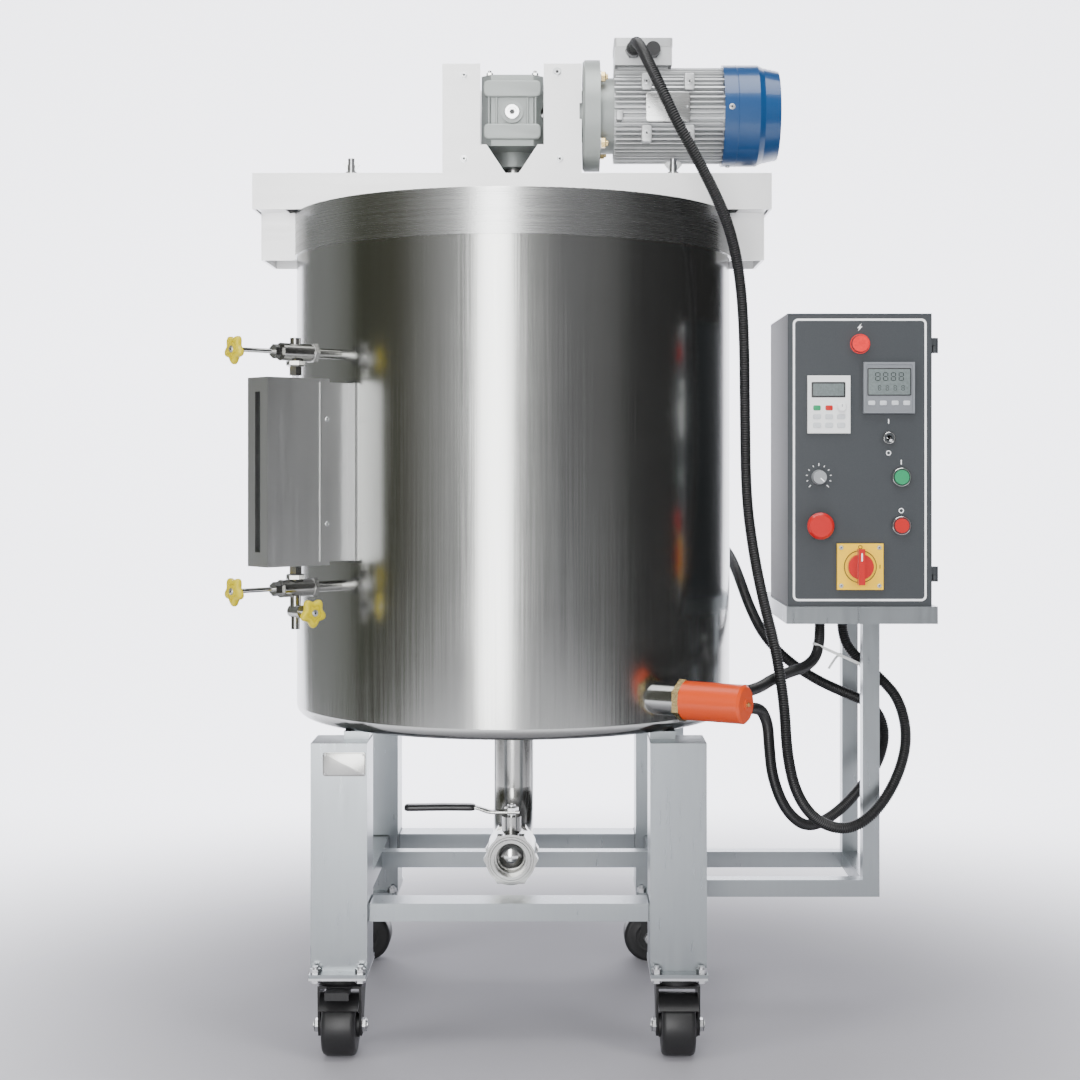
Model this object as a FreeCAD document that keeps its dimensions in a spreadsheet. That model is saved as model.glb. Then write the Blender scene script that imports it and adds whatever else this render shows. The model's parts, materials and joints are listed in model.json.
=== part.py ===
"""Jacketed melting tank for chocolate, on a four-legged frame with casters.

The tank's axis is vertical and the camera side of the object is -Y. Every piece is laid out
from the tank's axis, with Z up from the floor, and is then moved so that the frame's origin is
the middle of the footprint. Lengths are millimetres and angles are degrees.
"""
import FreeCAD, Part
import math
import os

import Sketcher

SIZES = {
    # Place of the tank's axis in the frame
    "axis_x": -139.4,
    "axis_y": 9.7,
    # Clearances
    "fit": 0.05,
    "air": 0.3,
    "weld": 0.1,
    # Frame of four legs
    "leg_spacing": 570.0,
    "leg_width": 95.0,
    "leg_wall": 3.0,
    "leg_top": 530.0,
    "foot_plate_depth": 142.0,
    "foot_plate_thick": 6.0,
    "foot_vent": 14.0,
    "saddle_width": 43.0,
    "saddle_inset": 2.0,
    "rail_bottom": 227.0,
    "rail_tall": 30.0,
    "rail_deep": 60.0,
    "rail_wall": 2.0,
    "foot_bolt_x": 75.0,
    "foot_bolt_y": 118.0,
    "foot_bolt_radius": 5.0,
    "foot_nut_radius": 9.0,
    "foot_nut_tall": 8.0,
    # Casters
    "caster_height": 142.0,
    "caster_plate_thick": 4.0,
    "raceway_radius": 38.0,
    "raceway_tall": 18.0,
    "fork_wall": 4.0,
    "fork_inside": 66.0,
    "fork_crown": 96.0,
    "fork_foot_radius": 16.0,
    "wheel_radius": 50.0,
    "wheel_width": 58.0,
    "wheel_crown": 14.0,
    "wheel_hub_radius": 20.0,
    "wheel_hub_width": 65.0,
    "axle_radius": 6.0,
    "axle_nut_radius": 11.0,
    "axle_nut_tall": 7.0,
    "caster_trail": 20.0,
    "front_yaw": -90.0,
    "rear_yaw": 180.0,
    "pedal_width": 40.0,
    "pedal_long": 34.0,
    "pedal_thick": 5.0,
    # Side arm and tray that carry the control cabinet
    "arm_tube": 30.0,
    "arm_front_y": -128.0,
    "arm_rear_y": 105.0,
    "arm_post_x": 641.0,
    "tray_low": 722.0,
    "tray_tall": 30.0,
    "tray_x": 478.0,
    "tray_width": 262.0,
    "tray_front": -238.0,
    "tray_deep": 362.0,
    "tray_wall": 2.0,
    # Tank
    "tank_radius": 400.0,
    "tank_low": 543.0,
    "tank_corner": 20.0,
    "shell_wall": 2.0,
    "rim_height": 1453.0,
    "band_tall": 76.0,
    "band_thick": 3.0,
    "vessel_radius": 350.0,
    "vessel_wall": 3.0,
    "vessel_low": 645.0,
    "vessel_corner": 25.0,
    "flange_thick": 3.0,
    # Beam across the rim
    "beam_over": 8.0,
    "beam_wide": 250.0,
    "beam_low": 1456.0,
    "beam_tall": 65.0,
    "beam_wall": 4.0,
    "shaft_hole": 30.0,
    "lug_out": 58.0,
    "lug_wide": 150.0,
    "lug_top": 1446.0,
    "lug_tall": 76.0,
    "lug_wall": 5.0,
    "bearer_bolt_out": 32.0,
    "bearer_bolt_y": 45.0,
    "bearer_bolt_radius": 6.0,
    "bearer_nut_radius": 11.0,
    "bearer_nut_tall": 9.0,
    "wing_x": 290.0,
    "wing_y": -108.0,
    "wing_span": 32.0,
    "wing_tall": 17.0,
    "wing_thick": 4.0,
    "wing_boss_radius": 7.0,
    "wing_stud_tall": 28.0,
    # Lids
    "lid_radius": 396.0,
    "lid_thick": 2.0,
    "lid_tuck": 14.0,
    "lid_hinge_radius": 5.0,
    "lid_pin_radius": 2.5,
    "lid_hinge_y": 131.0,
    "lid_hinge_half": 130.0,
    "knuckle_long": 40.0,
    "lid_handle_y": 320.0,
    "lid_handle_half": 60.0,
    "lid_handle_tall": 42.0,
    "lid_handle_radius": 6.0,
    # Gear unit and its cover
    "drive_height": 1632.0,
    "gear_distance": 75.0,
    "cover_half": 125.0,
    "cover_top": 1717.0,
    "cover_wall": 4.0,
    "cover_back": 112.0,
    "window_half": 57.0,
    "window_low": 1566.0,
    "notch_half": 12.0,
    "notch_top": 46.0,
    "plug_radius": 20.0,
    "plug_out": 6.0,
    "neck_hole": 52.0,
    "gear_half": 56.0,
    "gear_front": -112.0,
    "gear_back": 72.0,
    "gear_low": 1572.0,
    "gear_top": 1700.0,
    "gear_round": 18.0,
    "output_radius": 48.0,
    "output_low": 1545.0,
    "input_neck_radius": 46.0,
    "wheel_gear_radius": 52.0,
    "wheel_gear_thick": 34.0,
    "worm_radius": 22.4,
    "worm_half": 42.0,
    "shaft_radius": 20.0,
    "shaft_low": 660.0,
    "shaft_cap": 8.0,
    # Motor
    "flange_radius": 100.0,
    "flange_near": 127.0,
    "flange_far": 158.0,
    "flange_bevel": 4.0,
    "shield_radius": 68.0,
    "shield_wall": 6.0,
    "motor_near": 183.0,
    "motor_far": 379.0,
    "motor_core": 72.0,
    "motor_fin": 86.0,
    "fin_thick": 3.0,
    "fin_count": 28.0,
    "stator_bore": 46.0,
    "rotor_radius": 45.0,
    "rotor_near": 215.0,
    "rotor_far": 345.0,
    "coil_gap": 2.0,
    "motor_shaft": 12.0,
    "bearing_depth": 20.0,
    "cowl_radius": 91.0,
    "cowl_nose": 80.0,
    "cowl_step": 442.0,
    "cowl_bevel": 10.0,
    "cowl_far": 480.0,
    "cowl_wall": 2.0,
    "vent_count": 12.0,
    "vent_ring": 55.0,
    "vent_radius": 7.0,
    "fan_radius": 74.0,
    "fan_near": 400.0,
    "fan_disc": 4.0,
    "fan_blade": 26.0,
    "fan_blades": 7.0,
    "box_near": 184.0,
    "box_far": 287.0,
    "box_front": -127.0,
    "box_back": -27.0,
    "box_low": 1714.0,
    "box_high": 1763.0,
    "box_wall": 4.0,
    "pedestal_half": 30.0,
    "wire_hole": 12.0,
    "gland_near": 217.0,
    "gland_far": 252.0,
    "gland_height": 1739.0,
    "gland_radius": 13.0,
    "gland_long": 22.0,
    # Agitator
    "scraper_reach": 345.0,
    "scraper_thick": 8.0,
    "scraper_wide": 34.0,
    "arm_bar": 50.0,
    "arm_thick": 10.0,
    "arm_reach": 322.0,
    "arm_low": 668.0,
    "arm_high": 1250.0,
    "tie_height": 1000.0,
    "tie_tall": 40.0,
    "hub_radius": 32.0,
    "hub_tall": 70.0,
    "scraper_count": 3.0,
    "scraper_gap": 14.0,
    # Drain
    "pipe_radius": 36.5,
    "pipe_wall": 3.0,
    "bend_radius": 95.0,
    "drain_height": 307.0,
    "valve_back": -104.0,
    "valve_front": -208.0,
    "valve_body_radius": 44.0,
    "valve_hex": 48.0,
    "valve_hex_long": 22.0,
    "valve_bore": 26.0,
    "valve_socket": 29.5,
    "valve_socket_deep": 14.0,
    "ball_radius": 35.0,
    "bonnet_radius": 17.0,
    "bonnet_top": 374.0,
    "stem_radius": 7.0,
    "lever_height": 380.0,
    "lever_thick": 5.0,
    "lever_wide": 22.0,
    "lever_long": 190.0,
    "lever_grip": 45.0,
    "lever_nut_tall": 12.0,
    # Immersion heater
    "heater_share_x": 0.63,
    "heater_share_y": -0.7775,
    "heater_rise": 60.0,
    "heater_turn": -30.0,
    "socket_radius": 27.0,
    "socket_bore": 21.0,
    "socket_out": 40.0,
    "socket_in": 34.0,
    "hex_long": 12.0,
    "hex_radius": 35.0,
    "cap_radius": 32.5,
    "cap_long": 110.0,
    "cap_wall": 3.0,
    "cap_bevel": 4.0,
    "element_radius": 4.0,
    "element_long": 420.0,
    "element_half": 9.0,
    "entry_place": 88.0,
    "entry_half": 15.0,
    "entry_radius": 12.0,
    "entry_reach": 48.0,
    # Level gauge
    "gauge_turn": 223.0,
    "gauge_axis": 489.0,
    "gauge_face": 564.0,
    "gauge_back": 440.0,
    "gauge_half": 29.0,
    "gauge_low": 829.0,
    "gauge_high": 1142.0,
    "gauge_wall": 1.5,
    "slot_half": 7.5,
    "slot_inset": 24.0,
    "cock_high": 1186.0,
    "cock_low": 791.0,
    "cock_radius": 15.0,
    "cock_half": 30.0,
    "stub_radius": 9.0,
    "glass_radius": 6.0,
    "glass_wall": 1.5,
    "glass_socket": 9.0,
    "stem_thin": 4.0,
    "wheel_place": 604.0,
    "hand_radius": 25.0,
    "hand_thick": 11.0,
    "hand_lobe": 7.0,
    "hand_lobes": 5.0,
    "drain_cock": 752.0,
    "drain_wheel": 46.0,
    "strip_thick": 2.0,
    "strip_foot": 20.0,
    # Control cabinet
    "cab_x": 481.0,
    "cab_width": 250.0,
    "cab_tall": 508.0,
    "cab_front": -215.0,
    "cab_back": 20.0,
    "cab_wall": 2.0,
    "door_deep": 14.0,
    "door_gap": 1.0,
    "hinge_out": 7.5,
    "hinge_radius": 6.5,
    "hinge_pin": 3.0,
    "hinge_tall": 13.0,
    "hinge_inset": 42.0,
    "panel_hole": 11.0,
    "lamp_v": 201.0,
    "lamp_radius": 17.0,
    "lamp_out": 12.0,
    "keypad_u": -54.0,
    "keypad_v": 96.0,
    "keypad_wide": 74.0,
    "keypad_tall": 100.0,
    "keypad_out": 5.0,
    "control_u": 50.0,
    "control_v": 125.0,
    "control_side": 89.0,
    "control_out": 7.0,
    "control_deep": 60.0,
    "toggle_u": 50.0,
    "toggle_v": 38.0,
    "toggle_nut": 9.0,
    "toggle_out": 7.0,
    "toggle_long": 22.0,
    "toggle_radius": 2.6,
    "toggle_tilt": 12.0,
    "knob_u": -71.0,
    "lower_row": -30.0,
    "knob_radius": 13.0,
    "knob_out": 17.0,
    "button_u": 72.0,
    "button_radius": 12.5,
    "bezel_radius": 16.5,
    "bezel_out": 5.0,
    "button_out": 8.0,
    "button_travel": 3.0,
    "stop_row": -114.0,
    "mushroom_radius": 23.0,
    "mushroom_out": 30.0,
    "mushroom_thick": 12.0,
    "mushroom_neck": 11.0,
    "switch_v": -185.0,
    "switch_side": 80.0,
    "switch_out": 6.0,
    "handle_radius": 22.0,
    "handle_disc": 9.0,
    "handle_long": 31.0,
    "handle_wide": 11.0,
    "handle_out": 24.0,
    "drive_wide": 120.0,
    "drive_tall": 190.0,
    "drive_deep": 130.0,
    "back_plate": 3.0,
    "back_plate_gap": 12.0,
    "stem_inside": 18.0,
    "button_stem": 6.0,
    "knob_shaft": 3.0,
    "toggle_bore": 5.0,
    "toggle_pin": 3.2,
    "toggle_pin_half": 3.6,
    # Cables
    "conduit_radius": 10.0,
    "cab_gland_y": -70.0,
    "cab_gland_one": 560.0,
    "cab_gland_two": 600.0,
    "gland_nut": 16.0,
    "nut_tall": 7.0,
    "probe_turn": 70.0,
    "probe_boss": 16.0,
    "probe_height": 900.0,
    "probe_out": 40.0,
    "probe_radius": 15.0,
}

doc = FreeCAD.newDocument("melting_tank")
sheet = doc.addObject("Spreadsheet::Sheet", "sizes")
for row, (alias, number) in enumerate(SIZES.items(), 1):
    sheet.set("A%d" % row, alias)
    sheet.set("B%d" % row, str(number))
    sheet.setAlias("B%d" % row, alias)
doc.recompute()


class Term:
    """A size, or sizes added and multiplied: its expression on the sheet and its value."""

    def __init__(self, text, value):
        self.text = text
        self.value = value

    def __float__(self):
        return float(self.value)

    def join(self, sign, other, value):
        return Term("(%s %s %s)" % (self.text, sign, text_of(other)), value)

    def __add__(self, other):
        return self.join("+", other, self.value + float(other))

    def __sub__(self, other):
        return self.join("-", other, self.value - float(other))

    def __mul__(self, other):
        return self.join("*", other, self.value * float(other))

    def __truediv__(self, other):
        return self.join("/", other, self.value / float(other))

    def __neg__(self):
        return Term("(0 - %s)" % self.text, -self.value)

    def __radd__(self, other):
        return self + other

    def __rsub__(self, other):
        return -self + other

    def __rmul__(self, other):
        return self * other


class Sizes:
    """The sheet's sizes by name, each as a Term."""

    def __getattr__(self, name):
        return Term("sizes.%s" % name, float(sheet.get(name)))


s = Sizes()
NODES = []
CORD_SHARE = 0.45
TURNS = {
    "Z": ((0, 0, 1), 0),
    "-Z": ((1, 0, 0), 180),
    "X": ((0, 1, 0), 90),
    "-X": ((0, 1, 0), -90),
    "Y": ((1, 0, 0), -90),
    "-Y": ((1, 0, 0), 90),
}


def text_of(item):
    """The item's text in an expression."""
    return item.text if isinstance(item, Term) else repr(float(item))


def bind(obj, prop, item):
    """Tie a property to a size on the sheet, or set a plain number."""
    if isinstance(item, Term):
        obj.setExpression(prop, item.text)
    else:
        obj.setExpression(prop, repr(float(item)))


def seat(obj, x, y, z, axis="Z", angle=None):
    """Place an object at x, y, z, with its own Z along the axis, or turned about the axis."""
    direction, turn = TURNS[axis]
    if angle is not None:
        direction = {"X": (1, 0, 0), "Y": (0, 1, 0), "Z": (0, 0, 1)}[axis]
        turn = float(angle)
    obj.Placement = FreeCAD.Placement(
        FreeCAD.Vector(0, 0, 0), FreeCAD.Rotation(FreeCAD.Vector(*direction), turn))
    bind(obj, "Placement.Base.x", x)
    bind(obj, "Placement.Base.y", y)
    bind(obj, "Placement.Base.z", z)
    if isinstance(angle, Term):
        bind(obj, "Placement.Rotation.Angle", angle)
    return obj


def box(x, y, z, along_x, along_y, along_z):
    """Block with its low corner at x, y, z."""
    obj = doc.addObject("Part::Box", "block")
    bind(obj, "Length", along_x)
    bind(obj, "Width", along_y)
    bind(obj, "Height", along_z)
    return seat(obj, x, y, z)


def rod(radius, length, x, y, z, axis="Z"):
    """Cylinder from x, y, z along the axis."""
    obj = doc.addObject("Part::Cylinder", "rod")
    bind(obj, "Radius", radius)
    bind(obj, "Height", length)
    return seat(obj, x, y, z, axis)


def cone(radius, end_radius, length, x, y, z, axis="Z"):
    """Cone frustum from x, y, z along the axis."""
    obj = doc.addObject("Part::Cone", "cone")
    bind(obj, "Radius1", radius)
    bind(obj, "Radius2", end_radius)
    bind(obj, "Height", length)
    return seat(obj, x, y, z, axis)


def ball(radius, x, y, z):
    """Sphere round x, y, z."""
    obj = doc.addObject("Part::Sphere", "ball")
    bind(obj, "Radius", radius)
    return seat(obj, x, y, z)


def hexagon(radius, length, x, y, z, axis="Z"):
    """Hexagonal bar of the given corner radius from x, y, z along the axis."""
    obj = doc.addObject("Part::Prism", "hexagon")
    obj.Polygon = 6
    bind(obj, "Circumradius", radius)
    bind(obj, "Height", length)
    return seat(obj, x, y, z, axis)


def fuse(*pieces):
    """One solid from several that touch or overlap."""
    obj = doc.addObject("Part::MultiFuse", "fused")
    obj.Shapes = list(pieces)
    obj.Refine = True
    return obj


def cut(base, *tools):
    """The base without the tools."""
    obj = doc.addObject("Part::Cut", "cut")
    obj.Base = base
    obj.Tool = tools[0] if len(tools) == 1 else group(*tools)
    return obj


def common(one, other):
    """What two pieces share."""
    obj = doc.addObject("Part::Common", "shared")
    obj.Base = one
    obj.Tool = other
    return obj


def group(*pieces):
    """Several separate solids kept together."""
    obj = doc.addObject("Part::Compound", "group")
    obj.Links = list(pieces)
    return obj


def outline(body, points, plane):
    """Closed sketch on an origin plane of the body, each corner at its own two distances."""
    sketch = body.newObject("Sketcher::SketchObject", "outline")
    support = [item for item in body.Origin.OriginFeatures if item.Role == plane][0]
    sketch.AttachmentSupport = [(support, "")]
    sketch.MapMode = "FlatFace"
    corners = [FreeCAD.Vector(float(u), float(v), 0) for u, v in points]
    count = len(points)
    for index in range(count):
        line = Part.LineSegment(corners[index], corners[(index + 1) % count])
        sketch.addGeometry(line, False)
    for index in range(count):
        sketch.addConstraint(Sketcher.Constraint("Coincident", index, 2, (index + 1) % count, 1))
    for index, pair in enumerate(points):
        for kind, item in zip(("DistanceX", "DistanceY"), pair):
            constraint = Sketcher.Constraint(kind, -1, 1, index, 1, float(item))
            number = sketch.addConstraint(constraint)
            if isinstance(item, Term):
                sketch.setExpression("Constraints[%d]" % number, item.text)
    return sketch


def turned(points, rounds=()):
    """Body turned about Z from corners given as radius and height, with rounded edges."""
    body = doc.addObject("PartDesign::Body", "turned")
    feature = body.newObject("PartDesign::Revolution", "revolution")
    feature.Profile = outline(body, points, "XZ_Plane")
    feature.ReferenceAxis = (feature.Profile[0], ["V_Axis"])
    feature.Angle = 360
    for (radius, height), size in rounds:
        doc.recompute()
        edges = ring_edges(feature.Shape, float(radius), float(height))
        rounding = body.newObject("PartDesign::Fillet", "rounding")
        rounding.Base = (feature, edges)
        bind(rounding, "Radius", size)
        feature = rounding
    return body


def ring_edges(shape, radius, height):
    """Names of the round edges of this radius at this height."""
    names = []
    for number, edge in enumerate(shape.Edges, 1):
        bound = edge.BoundBox
        flat = abs(bound.ZMin - height) < 0.01 and abs(bound.ZMax - height) < 0.01
        if flat and abs(bound.XMax - radius) < 0.01:
            names.append("Edge%d" % number)
    return names


def padded(points, length, plane="XY_Plane"):
    """Body padded from a closed outline, both ways from its plane."""
    body = doc.addObject("PartDesign::Body", "plate")
    pad = body.newObject("PartDesign::Pad", "pad")
    pad.Profile = outline(body, points, plane)
    pad.Midplane = True
    bind(pad, "Length", length)
    return body


def node(label, *pieces, at=(0, 0, 0), turn=0, axis="Z"):
    """Name the pieces as one sub-part and move it from the tank's frame to the part's."""
    obj = group(*pieces)
    obj.Label = label
    seat(obj, s.axis_x + at[0], s.axis_y + at[1], at[2], axis, turn)
    NODES.append(obj)
    return obj


def tube_box(x, y, z, along_x, along_y, along_z, wall, through):
    """Rectangular tube, open at both ends along the axis named."""
    inner = {
        "X": (x, y + wall, z + wall, along_x, along_y - 2 * wall, along_z - 2 * wall),
        "Y": (x + wall, y, z + wall, along_x - 2 * wall, along_y, along_z - 2 * wall),
        "Z": (x + wall, y + wall, z, along_x - 2 * wall, along_y - 2 * wall, along_z),
    }[through]
    return cut(box(x, y, z, along_x, along_y, along_z), box(*inner))


def leg_frame():
    """Four box legs with foot plates and saddles, and the rails welded between them."""
    half = s.leg_spacing / 2
    wide = s.leg_width
    foot_top = s.caster_height + s.foot_plate_thick
    pieces = []
    for side_x in (-1, 1):
        for side_y in (-1, 1):
            x = side_x * half - wide / 2
            y = side_y * half - wide / 2
            tube = box(x, y, foot_top, wide, wide, s.leg_top - foot_top)
            bore = box(x + s.leg_wall, y + s.leg_wall, foot_top,
                       wide - 2 * s.leg_wall, wide - 2 * s.leg_wall,
                       s.leg_top - foot_top - s.leg_wall)
            foot = box(x, side_y * half - s.foot_plate_depth / 2, s.caster_height,
                       wide, s.foot_plate_depth, s.foot_plate_thick)
            vent = rod(s.foot_vent, s.foot_plate_thick, side_x * half, side_y * half,
                       s.caster_height)
            holes = [rod(s.foot_bolt_radius + s.air, s.foot_plate_thick, px, py, s.caster_height)
                     for px, py in bolt_places(side_x * half, side_y * half)]
            inner_x = side_x * (half - wide / 2 + s.saddle_inset + s.saddle_width / 2)
            inner_y = side_y * (half - wide / 2 + s.saddle_inset + s.saddle_width / 2)
            saddle = box(inner_x - s.saddle_width / 2, inner_y - s.saddle_width / 2, s.leg_top,
                         s.saddle_width, s.saddle_width, s.tank_low - s.leg_top)
            pieces.append(fuse(cut(tube, bore), cut(foot, vent, *holes), saddle))
    clear = s.leg_spacing - wide
    for side in (-1, 1):
        pieces.append(tube_box(-clear / 2, side * half - s.rail_deep / 2, s.rail_bottom,
                               clear, s.rail_deep, s.rail_tall, s.rail_wall, "X"))
        pieces.append(tube_box(side * half - s.rail_deep / 2, -clear / 2, s.rail_bottom,
                               s.rail_deep, clear, s.rail_tall, s.rail_wall, "Y"))
    pieces.append(tube_box(-half + s.rail_deep / 2, s.arm_rear_y - s.arm_tube / 2, s.rail_bottom,
                           s.leg_spacing - s.rail_deep, s.arm_tube, s.rail_tall,
                           s.rail_wall, "X"))
    node("leg_frame", *pieces)


def bolt_places(x, y):
    """The four bolt centres of a foot at x, y."""
    return [(x + side_x * s.foot_bolt_x / 2, y + side_y * s.foot_bolt_y / 2)
            for side_x in (-1, 1) for side_y in (-1, 1)]


def fasteners():
    """Foot bolts with nuts, bearer bolts with nuts, and the winged studs on the beam."""
    half = s.leg_spacing / 2
    pieces = []
    for side_x in (-1, 1):
        for side_y in (-1, 1):
            for x, y in bolt_places(side_x * half, side_y * half):
                low = s.caster_height - s.caster_plate_thick - s.foot_nut_tall * 0.7
                top = s.caster_height + s.foot_plate_thick
                pieces.append(fuse(
                    hexagon(s.foot_nut_radius, s.foot_nut_tall * 0.7, x, y, low),
                    rod(s.foot_bolt_radius, top + s.foot_nut_tall * 1.5 - low, x, y, low),
                    hexagon(s.foot_nut_radius, s.foot_nut_tall, x, y, top)))
    beam_top = s.beam_low + s.beam_tall
    for side_x in (-1, 1):
        for side_y in (-1, 1):
            x = side_x * bearer_bolt_x()
            y = side_y * s.bearer_bolt_y
            low = s.lug_top - s.lug_wall - s.bearer_nut_tall
            pieces.append(fuse(
                hexagon(s.bearer_nut_radius, s.bearer_nut_tall, x, y, low),
                rod(s.bearer_bolt_radius, beam_top - low + s.bearer_nut_tall * 1.6, x, y,
                    low - s.bearer_nut_tall * 0.6),
                hexagon(s.bearer_nut_radius, s.bearer_nut_tall, x, y, beam_top)))
    for side_x in (-1, 1):
        x = side_x * s.wing_x
        pieces.append(fuse(
            rod(s.bearer_bolt_radius, s.wing_stud_tall, x, s.wing_y, beam_top),
            rod(s.wing_boss_radius + 3, s.wing_thick, x, s.wing_y, beam_top),
            rod(s.wing_boss_radius, s.wing_tall, x, s.wing_y, beam_top),
            wing(x, beam_top)))
    node("fasteners", *pieces)


def wing(x, low):
    """Pair of wings that spread to a wider top, across the stud at x."""
    half = s.wing_span / 2
    plate = padded([(-s.wing_boss_radius, s.wing_tall * 0.4), (s.wing_boss_radius, s.wing_tall * 0.4),
                    (half, s.wing_tall), (half * 0.7, s.wing_tall * 1.35),
                    (-half * 0.7, s.wing_tall * 1.35), (-half, s.wing_tall)],
                   s.wing_thick, "XZ_Plane")
    return seat(plate, x, s.wing_y, low)


def caster_plates():
    """Four top plates, each with the fixed half of its swivel race."""
    half = s.leg_spacing / 2
    top = s.caster_height
    pieces = []
    for side_x in (-1, 1):
        for side_y in (-1, 1):
            x = side_x * half
            y = side_y * half
            plate = box(x - s.leg_width / 2, y - s.foot_plate_depth / 2, top - s.caster_plate_thick,
                        s.leg_width, s.foot_plate_depth, s.caster_plate_thick)
            holes = [rod(s.foot_bolt_radius + s.air, s.caster_plate_thick, px, py,
                         top - s.caster_plate_thick) for px, py in bolt_places(x, y)]
            race = rod(s.raceway_radius * 0.62, s.raceway_tall / 2, x, y,
                       top - s.caster_plate_thick - s.raceway_tall / 2)
            pin = rod(s.axle_radius, s.raceway_tall + s.fork_wall, x, y,
                      top - s.caster_plate_thick - s.raceway_tall - s.fork_wall)
            pieces.append(fuse(cut(plate, *holes), race, pin))
    node("caster_plates", *pieces)


def caster(label, side_x, side_y, yaw):
    """Fork and wheel of one caster; its own X points along the trail before the yaw."""
    place = (side_x * s.leg_spacing / 2, side_y * s.leg_spacing / 2, 0)
    crown = s.caster_height - s.caster_plate_thick - s.raceway_tall - s.fork_wall
    outer = s.fork_inside + 2 * s.fork_wall
    head = rod(s.raceway_radius, s.raceway_tall / 2 - s.air, 0, 0, crown + s.fork_wall)
    top = box(s.fork_crown / -2 + s.caster_trail * 0.6, -outer / 2, crown,
              s.fork_crown - s.caster_trail, outer, s.fork_wall)
    cheeks = []
    for side in (-1, 1):
        cheek = padded([(s.fork_crown / -2 + s.caster_trail * 0.6, crown),
                        (s.fork_crown / 2 - s.caster_trail * 0.4, crown),
                        (s.caster_trail + s.fork_foot_radius, s.wheel_radius),
                        (s.caster_trail + s.fork_foot_radius * 0.6,
                         s.wheel_radius - s.fork_foot_radius),
                        (s.caster_trail - s.fork_foot_radius * 0.6,
                         s.wheel_radius - s.fork_foot_radius),
                        (s.caster_trail - s.fork_foot_radius, s.wheel_radius)],
                       s.fork_wall, "XZ_Plane")
        cheeks.append(seat(cheek, 0, side * (outer - s.fork_wall) / 2, 0))
    axle_long = outer + 2 * s.axle_nut_tall + 4
    axle = rod(s.axle_radius, axle_long, s.caster_trail, -axle_long / 2, s.wheel_radius, "Y")
    nuts = [hexagon(s.axle_nut_radius, s.axle_nut_tall, s.caster_trail, outer / 2,
                    s.wheel_radius, "Y"),
            hexagon(s.axle_nut_radius, s.axle_nut_tall, s.caster_trail, -outer / 2,
                    s.wheel_radius, "-Y")]
    bore = rod(s.axle_radius + s.fit, s.raceway_tall + s.fork_wall, 0, 0, crown)
    node("fork_" + label, cut(fuse(head, top, *cheeks, axle, *nuts), bore), at=place, turn=yaw)
    half = s.wheel_width / 2
    hub = s.wheel_hub_width / 2
    rim = s.wheel_radius - s.wheel_crown
    tyre = turned([(s.axle_radius + s.fit, -hub), (s.wheel_hub_radius, -hub),
                   (s.wheel_hub_radius, -half), (rim, -half), (s.wheel_radius, -half * 0.45),
                   (s.wheel_radius, half * 0.45), (rim, half), (s.wheel_hub_radius, half),
                   (s.wheel_hub_radius, hub), (s.axle_radius + s.fit, hub)])
    node("wheel_" + label, seat(tyre, s.caster_trail, 0, s.wheel_radius, "Y"), at=place, turn=yaw)


def brake_pedal():
    """Foot pedal of the front left caster's brake, on a cross pin in front of the fork."""
    half = s.leg_spacing / 2
    width = s.pedal_width
    hinge_x = s.fork_crown / 2 - s.caster_trail * 0.4 + s.pedal_thick + s.air
    hinge_z = s.caster_height - s.caster_plate_thick - s.raceway_tall - s.fork_wall / 2
    low = hinge_z - s.pedal_thick / 2
    blade = box(hinge_x, -width / 2, low, s.pedal_long, width, s.pedal_thick)
    lip = box(hinge_x + s.pedal_long - s.pedal_thick, -width / 2, low - s.pedal_thick * 1.6,
              s.pedal_thick, width, s.pedal_thick * 1.6)
    barrel = rod(s.pedal_thick, width, hinge_x, -width / 2, hinge_z, "Y")
    node("brake_pedal", fuse(blade, lip, barrel), at=(-half, -half, 0), turn=s.front_yaw)


def arm_frame():
    """Two square-tube arms from the right side rail up to the tray that carries the cabinet."""
    half = s.leg_spacing / 2
    tube = s.arm_tube
    start = half + s.rail_deep / 2
    post = s.arm_post_x - tube / 2
    pieces = []
    for y in (s.arm_front_y, s.arm_rear_y):
        pieces.append(tube_box(start, y - tube / 2, s.rail_bottom, post - start, tube,
                               s.rail_tall, s.rail_wall, "X"))
        pieces.append(tube_box(post, y - tube / 2, s.rail_bottom, tube, tube,
                               s.tray_low + s.tray_tall - s.tray_wall - s.rail_bottom,
                               s.rail_wall, "Z"))
    span = s.arm_rear_y - s.arm_front_y - tube
    pieces.append(tube_box(post, s.arm_front_y + tube / 2, s.rail_bottom, tube, span,
                           s.rail_tall, s.rail_wall, "Y"))
    inner = box(s.tray_x + s.tray_wall, s.tray_front + s.tray_wall, s.tray_low,
                s.tray_width - 2 * s.tray_wall, s.tray_deep - 2 * s.tray_wall,
                s.tray_tall - s.tray_wall)
    holes = [rod(s.entry_radius + s.air, s.tray_wall, x, s.cab_gland_y,
                 s.tray_low + s.tray_tall - s.tray_wall)
             for x in (s.cab_gland_one, s.cab_gland_two)]
    pan = box(s.tray_x, s.tray_front, s.tray_low, s.tray_width, s.tray_deep, s.tray_tall)
    pieces.append(cut(pan, inner, *holes))
    node("arm_frame", *pieces)


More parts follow.
